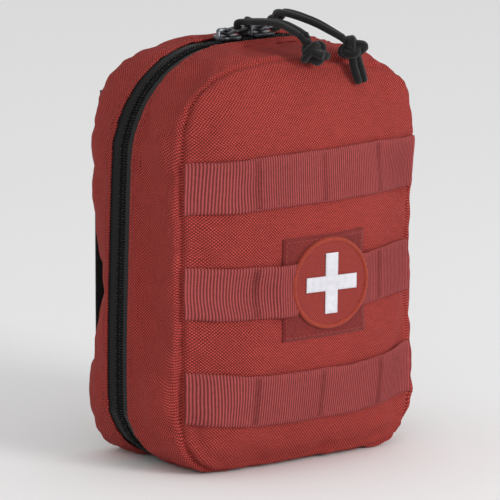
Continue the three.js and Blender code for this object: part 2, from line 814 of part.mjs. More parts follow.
const organiserMiddle = (organiserFront + organiserBack) / 2;
const rollPitch = (2 * organiserHalf - organiser.divider) / 3;
for (const [index, label] of ['left', 'middle', 'right'].entries()) {
  const { rollRadius, rollLength, rollFoot } = organiser;
  const roll = new THREE.CylinderGeometry(rollRadius, rollRadius, rollLength, 20);
  const placed = place(backHalf, `bandage_roll_${label}`, roll.rotateX(Math.PI / 2), 'gauze');
  placed.position.set((index - 1) * rollPitch, organiserMiddle, rollFoot + rollLength / 2);
}

const packX = (organiserHalf - organiser.divider / 2) / 2;
const packHalf = (organiserHalf - 1.5 * organiser.divider) / 2 - organiser.packSlack;
for (const [label, side] of [['dressing_pack', -1], ['wipes_pack', 1]]) {
  const plan = roundedRectangle(
    side * packX - packHalf,
    organiserMiddle - organiser.packDepth / 2,
    side * packX + packHalf,
    organiserMiddle + organiser.packDepth / 2,
    organiser.packCorner,
  );
  const packTop = organiser.packFoot + organiser.packHeight;
  place(backHalf, label, alongZ(plan, organiser.packFoot, packTop), 'wrapper');
}

// ---------------------------------------------------------------- mesh pocket and what it holds

const pocketBack = frontSeam + bindingDepth + touch;
const pocketFront = pocketBack + pocket.depth;
const pocketHalf = pouch.width / 2 - pocket.margin;

// The pocket's sides and floor, as one strip bent into a U and sewn to the front panel.
function pocketSides() {
  const { foot, top, wall } = pocket;
  const half = pocketHalf;
  const inner = half - wall;
  const inside = [[inner, foot + wall], [-inner, foot + wall], [-inner, top], [-half, top]];
  const corners = [[-half, foot], [half, foot], [half, top], [inner, top]];
  return alongY(polygon([...corners, ...inside]), pocketBack - bindingDepth, pocketFront);
}

place(frontHalf, 'pocket_sides', pocketSides(), 'blackMesh');

const meshFront = pocketFront + touch;
const meshTop = pocket.top - pocket.trim;
const mesh = box(-pocketHalf, meshFront, pocket.foot, pocketHalf, meshFront + pocket.thick, meshTop);
place(frontHalf, 'pocket_mesh', mesh, 'blackMesh');
const trimBack = meshFront + 2 * pocket.thick;
const trim = box(-pocketHalf, meshFront, meshTop + touch, pocketHalf, trimBack, pocket.top);
place(frontHalf, 'pocket_trim', trim, 'blackCloth');

const packFoot = pocket.foot + pocket.wall + touch;
const packSide = pocketHalf - pocket.wall - pocket.packMargin;
const packFront = pocketFront - pocket.packMargin / 2;
const packBack = packFront - pocket.packDepth;
const pocketPacks = [
  ['triangular_bandage', -packSide, -touch, 'gauze'],
  ['glove_pack', touch, packSide, 'wrapper'],
];
for (const [label, x0, x1, look] of pocketPacks) {
  const shape = roundedRectangle(x0, packFoot, x1, pocket.packTop, pocket.packCorner);
  place(frontHalf, label, alongY(shape, packBack, packFront), look);
}

// ---------------------------------------------------------------- origin under the middle

// The origin is under the middle of the pouch, halfway from the patch's face to the snaps' caps.
const frontReach = patchGroup.position.y + crossFront;
const backReach = strapOuter + touch + snap.capThick;
object.position.y = -(frontReach + backReach) / 2;

export default object;
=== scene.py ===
# %% [markdown]
# # A soft first aid pouch
# The pouch is sewn from red cloth in two halves that a zip joins round three sides. The fixed frame holds
# every hard and soft part at its measured place. This lesson dresses that frame: each cell makes one piece
# or one finish, and says what it is on the real object and why it is made that way.

# %% The fixed frame
import math

import bmesh
import bpy
import numpy as np
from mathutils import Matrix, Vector
from mathutils.bvhtree import BVHTree
from mathutils.kdtree import KDTree


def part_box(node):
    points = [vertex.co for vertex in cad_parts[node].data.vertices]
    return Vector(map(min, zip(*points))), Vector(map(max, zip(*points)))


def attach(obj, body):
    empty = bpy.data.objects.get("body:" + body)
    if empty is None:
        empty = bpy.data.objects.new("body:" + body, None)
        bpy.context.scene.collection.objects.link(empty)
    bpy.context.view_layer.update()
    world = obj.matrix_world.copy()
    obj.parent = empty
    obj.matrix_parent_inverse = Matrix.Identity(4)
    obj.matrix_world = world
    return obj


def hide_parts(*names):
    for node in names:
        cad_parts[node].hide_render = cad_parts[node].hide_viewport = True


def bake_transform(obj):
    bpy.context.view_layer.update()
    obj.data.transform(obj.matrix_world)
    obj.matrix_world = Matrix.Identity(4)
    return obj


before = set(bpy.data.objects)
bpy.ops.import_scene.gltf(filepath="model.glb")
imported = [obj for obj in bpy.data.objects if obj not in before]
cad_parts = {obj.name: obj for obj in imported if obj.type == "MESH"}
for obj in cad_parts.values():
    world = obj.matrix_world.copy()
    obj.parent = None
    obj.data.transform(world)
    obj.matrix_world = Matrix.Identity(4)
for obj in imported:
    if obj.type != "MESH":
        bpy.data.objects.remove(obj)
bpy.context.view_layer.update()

scene = bpy.context.scene

# %% [markdown]
# The pieces are drawn in millimetres with y = 0 between the two rows of zip teeth, as the frame was. The
# back row of teeth starts a known half gap behind that line, so the frame itself says where the line lies.

# %% From millimetres at the zip line to metres in the frame
MM = 0.001
TEETH_GAP_HALF = 0.8
ZIP_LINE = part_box("zip_teeth_back")[0].y / MM - TEETH_GAP_HALF


def metres(points):
    return (np.asarray(points, float) + [0, ZIP_LINE, 0]) * MM


def millimetres(points):
    return np.asarray(points, float) / MM - [0, ZIP_LINE, 0]


print("zip line lies at y =", round(ZIP_LINE, 2), "mm")

# %% [markdown]
# The camera stands three metres off with a long lens, so the sides of the pouch stay nearly parallel. It
# looks at the front and the left side from a little above.

# %% Camera
AIM = Vector((0, 0.0115, 0.0983))
AZIMUTH, ELEVATION = math.radians(-35.5), math.radians(11.2)
DISTANCE, SEEN_WIDTH, SENSOR = 3.0, 0.244, 36.0
towards_camera = Vector(
    (
        math.sin(AZIMUTH) * math.cos(ELEVATION),
        -math.cos(AZIMUTH) * math.cos(ELEVATION),
        math.sin(ELEVATION),
    )
)
camera = bpy.data.objects.new("camera", bpy.data.cameras.new("camera"))
scene.collection.objects.link(camera)
camera.location = AIM + towards_camera * DISTANCE
camera.rotation_mode = "QUATERNION"
camera.rotation_quaternion = (-towards_camera).to_track_quat("-Z", "Y")
camera.data.sensor_width = SENSOR
camera.data.lens = SENSOR * DISTANCE / SEEN_WIDTH
scene.camera = camera
print("lens, mm:", round(camera.data.lens, 1))

# %% [markdown]
# Materials are node trees. Two small helpers keep them readable: one adds a node and fills its inputs, the
# other does arithmetic. An input that is given another node's output is linked, and a plain value is set.

# %% Helpers for node trees


def add_node(tree, kind, inputs=None, **settings):
    made = tree.nodes.new(kind)
    for key, value in settings.items():
        setattr(made, key, value)
    for key, value in (inputs or {}).items():
        if isinstance(value, bpy.types.NodeSocket):
            tree.links.new(value, made.inputs[key])
        else:
            made.inputs[key].default_value = value
    return made


def calc(tree, operation, first, second=0.0, clamp=False):
    maths = {"operation": operation, "use_clamp": clamp}
    return add_node(tree, "ShaderNodeMath", {0: first, 1: second}, **maths).outputs[0]


def noise(tree, place, scale, detail):
    settings = {"Vector": place, "Scale": scale, "Detail": detail}
    return add_node(tree, "ShaderNodeTexNoise", settings).outputs[0]


def new_group(name, kind, inputs, outputs):
    tree = bpy.data.node_groups.new(name, kind)
    for label, socket, value in inputs:
        made = tree.interface.new_socket(label, in_out="INPUT", socket_type=socket)
        if value is not None:
            made.default_value = value
    for label, socket in outputs:
        tree.interface.new_socket(label, in_out="OUTPUT", socket_type=socket)
    return tree, add_node(tree, "NodeGroupInput").outputs, add_node(tree, "NodeGroupOutput")


def rgb(red, green, blue):
    """A colour as a screen shows it, 0 to 255, turned into the linear values that shaders use."""
    channels = np.array([red, green, blue]) / 255
    linear = np.where(channels <= 0.04045, channels / 12.92, ((channels + 0.055) / 1.055) ** 2.4)
    return (*linear, 1.0)


# %% [markdown]
# Woven cloth is warp and weft passing over and under each other. The product of two sine waves gives that
# chequer of small humps: where it is positive a warp thread is on top, and where it is negative a weft
# thread is. The group puts out a height for the bump and a mask of the warp. The fabric uses that mask to
# paint the warp humps in a lit colour and the weft humps in a shaded one, which is painted light and shade.
# It reads a cloth map in millimetres, so that the threads follow each panel as it was cut.

# %% Shader group: plain weave
WEAVE, inp, out = new_group(
    "plain_weave",
    "ShaderNodeTree",
    [
        ("Cloth", "NodeSocketVector", None),
        ("Warp", "NodeSocketFloat", 0.6),
        ("Weft", "NodeSocketFloat", 0.6),
    ],
    [(label, "NodeSocketFloat") for label in ("Height", "Over", "Slub")],
)
wobble = add_node(WEAVE, "ShaderNodeTexNoise", {"Vector": inp["Cloth"], "Scale": 0.35, "Detail": 2.0})
shifted = add_node(
    WEAVE,
    "ShaderNodeVectorMath",
    {0: wobble.outputs["Color"], 1: (0.7, 0.7, 0.0), 2: inp["Cloth"]},
    operation="MULTIPLY_ADD",
)
axes = add_node(WEAVE, "ShaderNodeSeparateXYZ", {0: shifted.outputs[0]})
waves = []
for axis, pitch in enumerate(("Warp", "Weft")):
    half_turns = calc(WEAVE, "DIVIDE", axes.outputs[axis], inp[pitch])
    waves.append(calc(WEAVE, "SINE", calc(WEAVE, "MULTIPLY", half_turns, math.pi)))
chequer = calc(WEAVE, "MULTIPLY", *waves)
over = add_node(
    WEAVE, "ShaderNodeMapRange", {0: chequer, 1: -0.25, 2: 0.55}, interpolation_type="SMOOTHSTEP"
).outputs[0]
stretched = add_node(
    WEAVE, "ShaderNodeVectorMath", {0: inp["Cloth"], 1: (0.12, 1.6, 1.0)}, operation="MULTIPLY"
).outputs[0]
slub = noise(WEAVE, stretched, 1.0, 3.0)
WEAVE.links.new(calc(WEAVE, "POWER", calc(WEAVE, "ABSOLUTE", chequer), 0.5), out.inputs["Height"])
WEAVE.links.new(over, out.inputs["Over"])
WEAVE.links.new(slub, out.inputs["Slub"])

# %% [markdown]
# Ribs and twill lines are both stripes: straight across for a rib and on the slant for twill. A second
# group draws them, with a fine thread grain along each stripe.

# %% Shader group: stripes
STRIPES, inp, out = new_group(
    "thread_stripes",
    "ShaderNodeTree",
    [
        ("Cloth", "NodeSocketVector", None),
        ("Pitch", "NodeSocketFloat", 1.0),
        ("Slant", "NodeSocketFloat", 0.0),
    ],
    [("Height", "NodeSocketFloat"), ("Grain", "NodeSocketFloat")],
)
axes = add_node(STRIPES, "ShaderNodeSeparateXYZ", {0: inp["Cloth"]})
leaning = calc(STRIPES, "ADD", axes.outputs[0], calc(STRIPES, "MULTIPLY", axes.outputs[1], inp["Slant"]))
phase = calc(STRIPES, "MULTIPLY", calc(STRIPES, "DIVIDE", leaning, inp["Pitch"]), 2 * math.pi)
half_wave = calc(STRIPES, "MULTIPLY", calc(STRIPES, "SINE", phase), 0.5)
STRIPES.links.new(calc(STRIPES, "ADD", half_wave, 0.5), out.inputs["Height"])
THREAD_PITCH = 0.55
across = calc(STRIPES, "SINE", calc(STRIPES, "MULTIPLY", axes.outputs[1], 2 * math.pi / THREAD_PITCH))
fine = noise(STRIPES, inp["Cloth"], 2.2, 2.0)
grain = calc(STRIPES, "ADD", calc(STRIPES, "MULTIPLY", across, 0.22), fine, clamp=True)
STRIPES.links.new(grain, out.inputs["Grain"])

# %% [markdown]
# Cloth is never one even colour. A third group gives soft patches of light and dark a few centimetres wide
# and a finer fading where dye and handling differ. It reads Object coordinates, which stay fixed to each
# piece.

# %% Shader group: handling
HANDLING, inp, out = new_group(
    "handling",
    "ShaderNodeTree",
    [("Place", "NodeSocketVector", None), ("Strength", "NodeSocketFloat", 0.2)],
    [("Shade", "NodeSocketFloat"), ("Dust", "NodeSocketFloat")],
)
broad = noise(HANDLING, inp["Place"], 28.0, 3.0)
fine = noise(HANDLING, inp["Place"], 400.0, 2.0)
swing = calc(HANDLING, "SUBTRACT", calc(HANDLING, "ADD", broad, fine), 1.0)
shade = calc(HANDLING, "ADD", calc(HANDLING, "MULTIPLY", swing, inp["Strength"]), 1.0)
HANDLING.links.new(shade, out.inputs["Shade"])
HANDLING.links.new(fine, out.inputs["Dust"])

# %% [markdown]
# One function turns those groups into a fabric. It takes the colour of the shaded thread and of the lit
# thread, a thread pitch and a kind of cloth. The colour is mixed between the two by the warp mask, the rib
# crests or the pile height, so the lighter threads, ridges and tufts are painted light and the rest is
# painted shade, with random slubs and grain mixed in. Sheen, which is the same all over, is set straight
# on the shader.

# %% Fabrics
CLOTH_MAP = "cloth"


def fabric(
    name, shaded, lit, kind="weave", pitch=0.6, slant=0.0, bump=0.12, rough=0.86, sheen=0.15, vary=0.25
):
    material = bpy.data.materials.new(name)
    material.use_nodes = True
    tree = material.node_tree
    shader = tree.nodes["Principled BSDF"]
    cloth = add_node(tree, "ShaderNodeUVMap", uv_map=CLOTH_MAP).outputs[0]
    place = add_node(tree, "ShaderNodeTexCoord").outputs["Object"]
    if kind == "weave":
        threads = add_node(tree, "ShaderNodeGroup", node_tree=WEAVE)
        tree.links.new(cloth, threads.inputs["Cloth"])
        threads.inputs["Warp"].default_value = threads.inputs["Weft"].default_value = pitch
        # Painted light: the warp humps take the lit colour and the weft humps the shaded one; slubs add
        # random tone.
        slubs = calc(tree, "MULTIPLY", threads.outputs["Slub"], 0.4)
        painted_light_and_yarn_tone = calc(tree, "ADD", calc(tree, "MULTIPLY", threads.outputs["Over"], 0.8), slubs, clamp=True)
        height = threads.outputs["Height"]
    elif kind == "stripes":
        threads = add_node(tree, "ShaderNodeGroup", node_tree=STRIPES)
        tree.links.new(cloth, threads.inputs["Cloth"])
        threads.inputs["Pitch"].default_value = pitch
        threads.inputs["Slant"].default_value = slant
        ridges, grain = threads.outputs["Height"], threads.outputs["Grain"]
        # Painted light: the rib crests take the lit colour and the grooves between them the shaded one; the
        # grain adds fine thread tone.
        bright = calc(tree, "MULTIPLY", ridges, 0.6)
        painted_light_and_yarn_tone = calc(tree, "ADD", bright, calc(tree, "MULTIPLY", grain, 0.45), clamp=True)
        height = calc(tree, "ADD", ridges, calc(tree, "MULTIPLY", grain, 0.5))
    else:
        # The pile's own height picks its colour, so high tufts are painted light and low ones are painted
        # shade.
        painted_light_and_yarn_tone = height = noise(tree, place, 1500.0, 4.0)
    handling = add_node(tree, "ShaderNodeGroup", node_tree=HANDLING)
    tree.links.new(place, handling.inputs["Place"])
    handling.inputs["Strength"].default_value = vary
    colour = add_node(tree, "ShaderNodeMix", data_type="RGBA")
    tree.links.new(painted_light_and_yarn_tone, colour.inputs[0])
    colour.inputs[6].default_value, colour.inputs[7].default_value = shaded, lit
    shades = {"Color": colour.outputs[2], "Value": handling.outputs["Shade"]}
    toned = add_node(tree, "ShaderNodeHueSaturation", shades)
    tree.links.new(toned.outputs[0], shader.inputs["Base Color"])
    dust = calc(tree, "MULTIPLY", handling.outputs["Dust"], 0.16)
    gloss = calc(tree, "ADD", dust, rough - 0.08, clamp=True)
    tree.links.new(gloss, shader.inputs["Roughness"])
    relief = add_node(tree, "ShaderNodeBump", {"Height": height, "Distance": bump * MM, "Strength": 1.0})
    tree.links.new(relief.outputs[0], shader.inputs["Normal"])
    shader.inputs["Sheen Weight"].default_value = sheen
    shader.inputs["Specular IOR Level"].default_value = 0.14
    return material


RED_CLOTH = fabric("red_cloth", rgb(70, 14, 20), rgb(196, 78, 70), pitch=0.72, bump=0.26, sheen=0.0)
RED_WEBBING = fabric(
    "red_webbing", rgb(62, 14, 20), rgb(182, 86, 84), "stripes", pitch=1.3, bump=0.16, sheen=0.0, vary=0.35
)
RED_LOOP = fabric(
    "red_loop_pile", rgb(80, 24, 25), rgb(140, 54, 50), "pile", bump=0.35, rough=0.95, sheen=0.1
)
PATCH_TWILL = fabric(
    "patch_twill", rgb(96, 24, 26), rgb(164, 68, 60), "stripes", pitch=1.5, slant=-1.0, sheen=0.05
)
BORDER_THREAD = fabric(
    "border_thread", rgb(104, 30, 24), rgb(178, 72, 52), "pile", bump=0.08, rough=0.6, sheen=0.1
)
WHITE_THREAD = fabric(
    "white_thread", rgb(188, 186, 194), rgb(232, 231, 236), "stripes", pitch=0.45, bump=0.08, rough=0.55
)
BLACK_CLOTH = fabric(
    "black_cloth", rgb(8, 8, 9), rgb(31, 31, 32), "stripes", pitch=1.1, slant=1.0, bump=0.1
)
BLACK_LINING = fabric(
    "black_lining", rgb(18, 18, 19), rgb(46, 46, 49), pitch=0.5, bump=0.06, rough=0.7
)
BLACK_CORD = fabric("black_cord", rgb(6, 6, 7), rgb(24, 24, 26), pitch=0.85, bump=0.14, rough=0.66)
BLACK_TEETH = fabric(
    "black_teeth", rgb(14, 14, 15), rgb(38, 38, 40), "pile", bump=0.02, rough=0.45, sheen=0.0
)
RED_THREAD = fabric(
    "red_thread", rgb(112, 38, 38), rgb(166, 78, 72), "pile", bump=0.02, rough=0.6, sheen=0.05
)
ZIP_THREAD = fabric(
    "zip_thread", rgb(52, 52, 50), rgb(112, 112, 106), "pile", bump=0.02, rough=0.6, sheen=0.0
)
BLACK_THREAD = fabric("black_thread", rgb(20, 20, 21), rgb(48, 48, 50), "pile", bump=0.02, rough=0.6)
GAUZE = fabric("gauze", rgb(196, 192, 180), rgb(247, 245, 238), pitch=0.9, bump=0.2, rough=0.95)
PAPER_WRAP = fabric(
    "paper_wrap", rgb(203, 208, 212), rgb(238, 240, 242), "pile", bump=0.03, rough=0.55, sheen=0.0
)
CREPE = fabric("crepe_bandage", rgb(176, 158, 132), rgb(226, 210, 184), "stripes", pitch=1.4, bump=0.2)
print("fabrics:", len([m for m in bpy.data.materials if m.use_nodes]))

# %% [markdown]
# The sliders, pull tabs and snaps are metal with a dark plated finish that has rubbed a little brighter in
# places. Noise moves the roughness, and a broader noise lets some bare metal colour through.

# %% Dark plated metal


def plated_metal(name, dark, bright, rough):
    material = bpy.data.materials.new(name)
    material.use_nodes = True
    tree = material.node_tree
    shader = tree.nodes["Principled BSDF"]
    place = add_node(tree, "ShaderNodeTexCoord").outputs["Object"]
    rub = noise(tree, place, 260.0, 5.0)
    worn = add_node(
        tree, "ShaderNodeMapRange", {0: rub, 1: 0.45, 2: 0.75}, interpolation_type="SMOOTHSTEP"
    ).outputs[0]
    colour = add_node(tree, "ShaderNodeMix", data_type="RGBA")
    tree.links.new(worn, colour.inputs[0])
    colour.inputs[6].default_value, colour.inputs[7].default_value = dark, bright
    tree.links.new(colour.outputs[2], shader.inputs["Base Color"])
    tree.links.new(
        calc(tree, "ADD", calc(tree, "MULTIPLY", rub, 0.3), rough - 0.15), shader.inputs["Roughness"]
    )
    relief = add_node(tree, "ShaderNodeBump", {"Height": rub, "Distance": 0.02 * MM, "Strength": 0.6})
    tree.links.new(relief.outputs[0], shader.inputs["Normal"])
    shader.inputs["Metallic"].default_value = 0.9
    return material


DARK_METAL = plated_metal("dark_metal", rgb(62, 64, 68), rgb(132, 136, 142), 0.36)
SNAP_METAL = plated_metal("snap_metal", rgb(26, 26, 28), rgb(74, 74, 78), 0.42)

# %% Helpers for meshes


def build_mesh(name, points, faces, uv=None, corner_uv=None):
    mesh = bpy.data.meshes.new(name)
    mesh.from_pydata([tuple(p) for p in metres(points)], [], [tuple(int(i) for i in f) for f in faces])
    layer = mesh.uv_layers.new(name=CLOTH_MAP)
    if corner_uv is None:
        corners = np.zeros(len(mesh.loops), np.int32)
        mesh.loops.foreach_get("vertex_index", corners)
        base = np.asarray(points, float)[:, [0, 2]] if uv is None else np.asarray(uv, float)
        corner_uv = base[corners]
    layer.data.foreach_set("uv", np.asarray(corner_uv, np.float32).ravel())
    mesh.shade_smooth()
    return mesh


def closed_outwards(mesh):
    work = bmesh.new()
    work.from_mesh(mesh)
    bmesh.ops.recalc_face_normals(work, faces=work.faces)
    work.to_mesh(mesh)
    work.free()
    return mesh


def link(name, mesh):
    made = bpy.data.objects.new(name, mesh)
    scene.collection.objects.link(made)
    return made


def dress(made, material, body, nodes=()):
    made.data.materials.clear()
    made.data.materials.append(material)
    if body:
        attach(made, body)
    if nodes:
        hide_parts(*nodes)
    return made


def piece(name, points, faces, material, body, nodes=(), uv=None, sharp=None):
    mesh = closed_outwards(build_mesh(name, points, faces, uv))
    if sharp:
        mesh.set_sharp_from_angle(angle=math.radians(sharp))
    return dress(link(name, mesh), material, body, nodes)


def plain_result(made, name):
    """The object with its modifiers worked out, as a new object with a plain mesh. The old one goes."""
    scene.view_layers[0].update()
    depsgraph = bpy.context.evaluated_depsgraph_get()
    mesh = bpy.data.meshes.new_from_object(made.evaluated_get(depsgraph), depsgraph=depsgraph)
    bpy.data.objects.remove(made)
    mesh.name = name
    return link(name, mesh)


def coords(mesh):
    flat = np.zeros(len(mesh.vertices) * 3)
    mesh.vertices.foreach_get("co", flat)
    return flat.reshape(-1, 3)


def grid_quads(rows, columns, wrap_rows=False, wrap_columns=False):
    row = np.arange(rows if wrap_rows else rows - 1)
    column = np.arange(columns if wrap_columns else columns - 1)
    r, c = np.meshgrid(row, column, indexing="ij")
    r2, c2 = (r + 1) % rows, (c + 1) % columns
    here, beyond = r * columns, r2 * columns
    return np.stack([here + c, here + c2, beyond + c2, beyond + c], -1).reshape(-1, 4)


def slab(front, back):
    """Points and faces of a thin closed sheet between two equal grids of points."""
    rows, columns = front.shape[:2]
    near = grid_quads(rows, columns)
    index = np.arange(rows * columns).reshape(rows, columns)
    rim = np.concatenate([index[0, :-1], index[:-1, -1], index[-1, :0:-1], index[:0:-1, 0]])
    after = np.roll(rim, -1)
    count = rows * columns
    side = np.stack([rim, rim + count, after + count, after], -1)
    points = np.concatenate([front.reshape(-1, 3), back.reshape(-1, 3)])
    return points, np.concatenate([near, near[:, ::-1] + count, side])


def spline(points, samples, closed=False):
    """A smooth curve through the points, with its samples evenly spaced along it."""
    p = np.asarray(points, float)
    ends = (p[-1:], p[:2]) if closed else (2 * p[:1] - p[1:2], 2 * p[-1:] - p[-2:-1])
    padded = np.concatenate([ends[0], p, ends[1]])
    dense = []
    spans = len(p) if closed else len(p) - 1
    steps = np.linspace(0, 1, 40, endpoint=False)[:, None]
    for k in range(spans):
        a, b, c, d = (padded[(k + i) % len(padded)] for i in range(4))
        dense.append(
            0.5 * (2 * b + (c - a) * steps + (2 * a - 5 * b + 4 * c - d) * steps**2
                   + (3 * b - a - 3 * c + d) * steps**3)
        )
    curve = np.concatenate(dense + [p[:1] if closed else p[-1:]])
    travelled = np.concatenate([[0], np.cumsum(np.linalg.norm(np.diff(curve, axis=0), axis=1))])
    at = np.linspace(0, travelled[-1], samples, endpoint=not closed)
    return np.stack([np.interp(at, travelled, curve[:, axis]) for axis in range(curve.shape[1])], -1)


def smoothstep(value, low=0.0, high=1.0):
    t = np.clip((np.asarray(value, float) - low) / (high - low), 0, 1)
    return t * t * (3 - 2 * t)


def tube(centreline, radius, sides=14, ripple=0.0, ripple_pitch=1.6):
    """Points, faces and cloth map of a round tube with closed ends. Ripple gives a braid's small humps."""
    line = np.asarray(centreline, float)
    ahead = np.gradient(line, axis=0)
    ahead /= np.linalg.norm(ahead, axis=1)[:, None]
    side = np.cross(ahead[0], [0.3, 0.2, 1.0])
    travelled = np.concatenate([[0], np.cumsum(np.linalg.norm(np.diff(line, axis=0), axis=1))])
    angles = np.linspace(0, 2 * math.pi, sides, endpoint=False)
    points, uv = [], []
    radii = np.broadcast_to(radius, len(line))
    for here, forward, size, along in zip(line, ahead, radii, travelled):
        side = side - forward * (side @ forward)
        side /= np.linalg.norm(side)
        up = np.cross(forward, side)
        humps = 1 + ripple * np.sin(angles * 4 + 2 * math.pi * along / ripple_pitch) * np.sin(
            angles * 4 - 2 * math.pi * along / ripple_pitch
        )
        for angle, hump in zip(angles, humps):
            points.append(here + size * hump * (math.cos(angle) * side + math.sin(angle) * up))
            uv.append((along + angle * size, along - angle * size))
    rings = len(line)
    faces = [list(f) for f in grid_quads(rings, sides, wrap_columns=True)]
    for ring, tip, sign in ((0, line[0], 1), (rings - 1, line[-1], -1)):
        points.append(tip)
        uv.append((0, 0))
        last = len(points) - 1
        start = ring * sides
        faces += [[last, start + k, start + (k + 1) % sides][::sign] for k in range(sides)]
    return np.array(points), faces, np.array(uv)


print("mesh helpers ready")

# %% [markdown]
# Each zip slider is pulled by a cord: one length of braided cord is looped through the tab's eye, and its
# two ends run together over the top edge into a knot. The route is the frame's own route. The strands lie
# side by side, so each is the middle line moved across by half a pair's width.

# %% The two pull cords
CORD_RADIUS = 1.6
STRAND_OFFSET = 1.75
WRAP_RADIUS = 2.9
TAB_TILT = math.radians(10)
PULLS = {
    "left": {
        "pivot": (-13.9, 0, 206.3),
        "line": [(-2.1, -5, 211.6), (-1.7, -12, 212.4), (-1, -20, 213.2), (-0.3, -30, 213.4),
                 (0.2, -40, 211.6), (0.6, -45.8, 209.8)],
        "knot": (3, -50, 202.2),
        "tail": (3.8, -60, 201.2),
    },
    "right": {
        "pivot": (5.6, 0, 206.3),
        "line": [(15.5, -5, 212.6), (11.2, -12, 215.6), (8.8, -19, 217), (9.4, -29, 216.6),
                 (13.2, -39, 214), (18.4, -45.2, 210), (21.9, -47.8, 207.4)],
        "knot": (27, -50, 202),
        "tail": (29.7, -54, 185),
    },
}
PATH_POINTS = 40
EYE_BAR = 11.9
TAB_THICK = 1.2
WRAP_FLATTEN = 0.9
KNOT_SIZE, KNOT_CORE, KNOT_SQUASH = 1.72, 3.4, 0.85
STRAND_SHIFT = 1.5
STRAND_THICKER, TAIL_THICKER = 1.16, 1.25
ROOT_SPREAD, BEND_SPREAD, TAIL_SPREAD = 0.6, 1.15, 1.05


def cord_route(pull):
    line = np.array(pull["line"], float)
    ahead = np.gradient(line, axis=0)
    across = np.stack([-ahead[:, 1], ahead[:, 0], np.zeros(len(line))], -1)
    across /= np.linalg.norm(across, axis=1)[:, None]
    along = np.array([math.cos(TAB_TILT), 0, math.sin(TAB_TILT)])
    up = np.array([-math.sin(TAB_TILT), 0, math.cos(TAB_TILT)])
    bar = np.array(pull["pivot"], float) + along * EYE_BAR

    def turn(share, rise):
        angle = share * math.pi / 2
        lift = rise - WRAP_FLATTEN * WRAP_RADIUS * math.cos(angle)
        return bar + along * WRAP_RADIUS * math.sin(angle) + up * lift

    clear = CORD_RADIUS + TAB_THICK
    loop = [turn(-1, clear)] + [turn(s, 0) for s in (-1, -0.7, 0, 0.7, 1)] + [turn(1, clear)]
    return np.concatenate([(line - STRAND_OFFSET * across)[::-1], loop, line + STRAND_OFFSET * across])


def knot_parts(pull, route):
    """The overhand knot: a trefoil of the doubled cord, the strands that enter it and its two tails."""
    centre, tail = np.array(pull["knot"], float), np.array(pull["tail"], float)
    pointing = (tail - centre) / np.linalg.norm(tail - centre)
    side = np.cross(pointing, [0.0, 1.0, 0.2] if abs(pointing[1]) < 0.9 else [0.2, 0.0, 1.0])
    side /= np.linalg.norm(side)
    third = np.cross(side, pointing)
    t = np.linspace(0, 2 * math.pi, 90)
    trefoil = [np.sin(t) + 2 * np.sin(2 * t), np.cos(t) - 2 * np.cos(2 * t), -1.5 * np.sin(3 * t)]
    flat = np.stack(trefoil, -1) * KNOT_SIZE
    parts = []
    for shift in (-STRAND_SHIFT, STRAND_SHIFT):
        loop = flat + [0, 0, shift]
        placed = centre + loop[:, :1] * side + loop[:, 1:2] * pointing * KNOT_SQUASH + loop[:, 2:] * third
        parts.append(tube(placed, CORD_RADIUS * STRAND_THICKER, ripple=0.05))
        reach = tail + side * shift * TAIL_SPREAD
        bend = (centre + tail) / 2 + side * shift * BEND_SPREAD + third * 0.4
        line = spline([centre + side * shift * ROOT_SPREAD, bend, reach], 26)
        size = np.full(26, CORD_RADIUS * TAIL_THICKER)
        size[-3:] *= [0.98, 0.86, 0.55]
        parts.append(tube(line, size, ripple=0.05))
    parts.append(tube(spline([centre - pointing * 3, centre, centre + pointing * 3], 12), KNOT_CORE))
    for end, before in ((route[0], route[1]), (route[-1], route[-2])):
        line = spline([end, end + (end - before) * 0.35, centre], 16)
        parts.append(tube(line, CORD_RADIUS, ripple=0.05))
    return parts


def joined_parts(parts):
    points, faces, uv, offset = [], [], [], 0
    for part_points, part_faces, part_uv in parts:
        points.append(part_points)
        uv.append(part_uv)
        faces += [[index + offset for index in face] for face in part_faces]
        offset += len(part_points)
    return np.concatenate(points), faces, np.concatenate(uv)


for side_name, pull in PULLS.items():
    route = spline(cord_route(pull), 330)
    points, faces, uv = tube(route, CORD_RADIUS, ripple=0.05)
    pull_cord = piece(
        f"pull_cord_{side_name}_braid", points, faces, BLACK_CORD, f"pull_{side_name}",
        [f"pull_cord_{side_name}"], uv,
    )
    points, faces, uv = joined_parts(knot_parts(pull, route))
    pull_knot = piece(
        f"pull_knot_{side_name}_overhand", points, faces, BLACK_CORD, f"pull_{side_name}",
        [f"pull_knot_{side_name}"], uv,
    )
    path = metres(spline(cord_route(pull), PATH_POINTS))

# %% [markdown]
# Three outlines give the soft body its shape: one at the zip, one at the front seam and one at the back
# seam. A packed pouch is not a perfect box. It spreads towards its foot, and its front seam droops at one
# top corner. Each outline is looked up by its angle from the middle of the front, so a point on one finds
# its neighbour on the next.

# %% Outlines of the soft body
MIDDLE_HEIGHT = 100.0
HEIGHT = 203.2


class Outline:
    def __init__(self, corners):
        curve = spline(corners, 1440, closed=True)
        phi = np.arctan2(curve[:, 0], curve[:, 1] - MIDDLE_HEIGHT)
        order = np.argsort(phi)
        self.phi, self.curve = phi[order], curve[order]

    def at(self, phi, inset=0.0):
        def sample(angle):
            return np.stack(
                [np.interp(angle, self.phi, self.curve[:, axis], period=2 * math.pi) for axis in (0, 1)], -1
            )

        spot = sample(phi)
        step = 0.02
        ahead = sample(np.asarray(phi) + step) - sample(np.asarray(phi) - step)
        ahead /= np.linalg.norm(ahead, axis=1)[:, None]
        return spot - np.asarray(inset) * np.stack([-ahead[:, 1], ahead[:, 0]], -1)


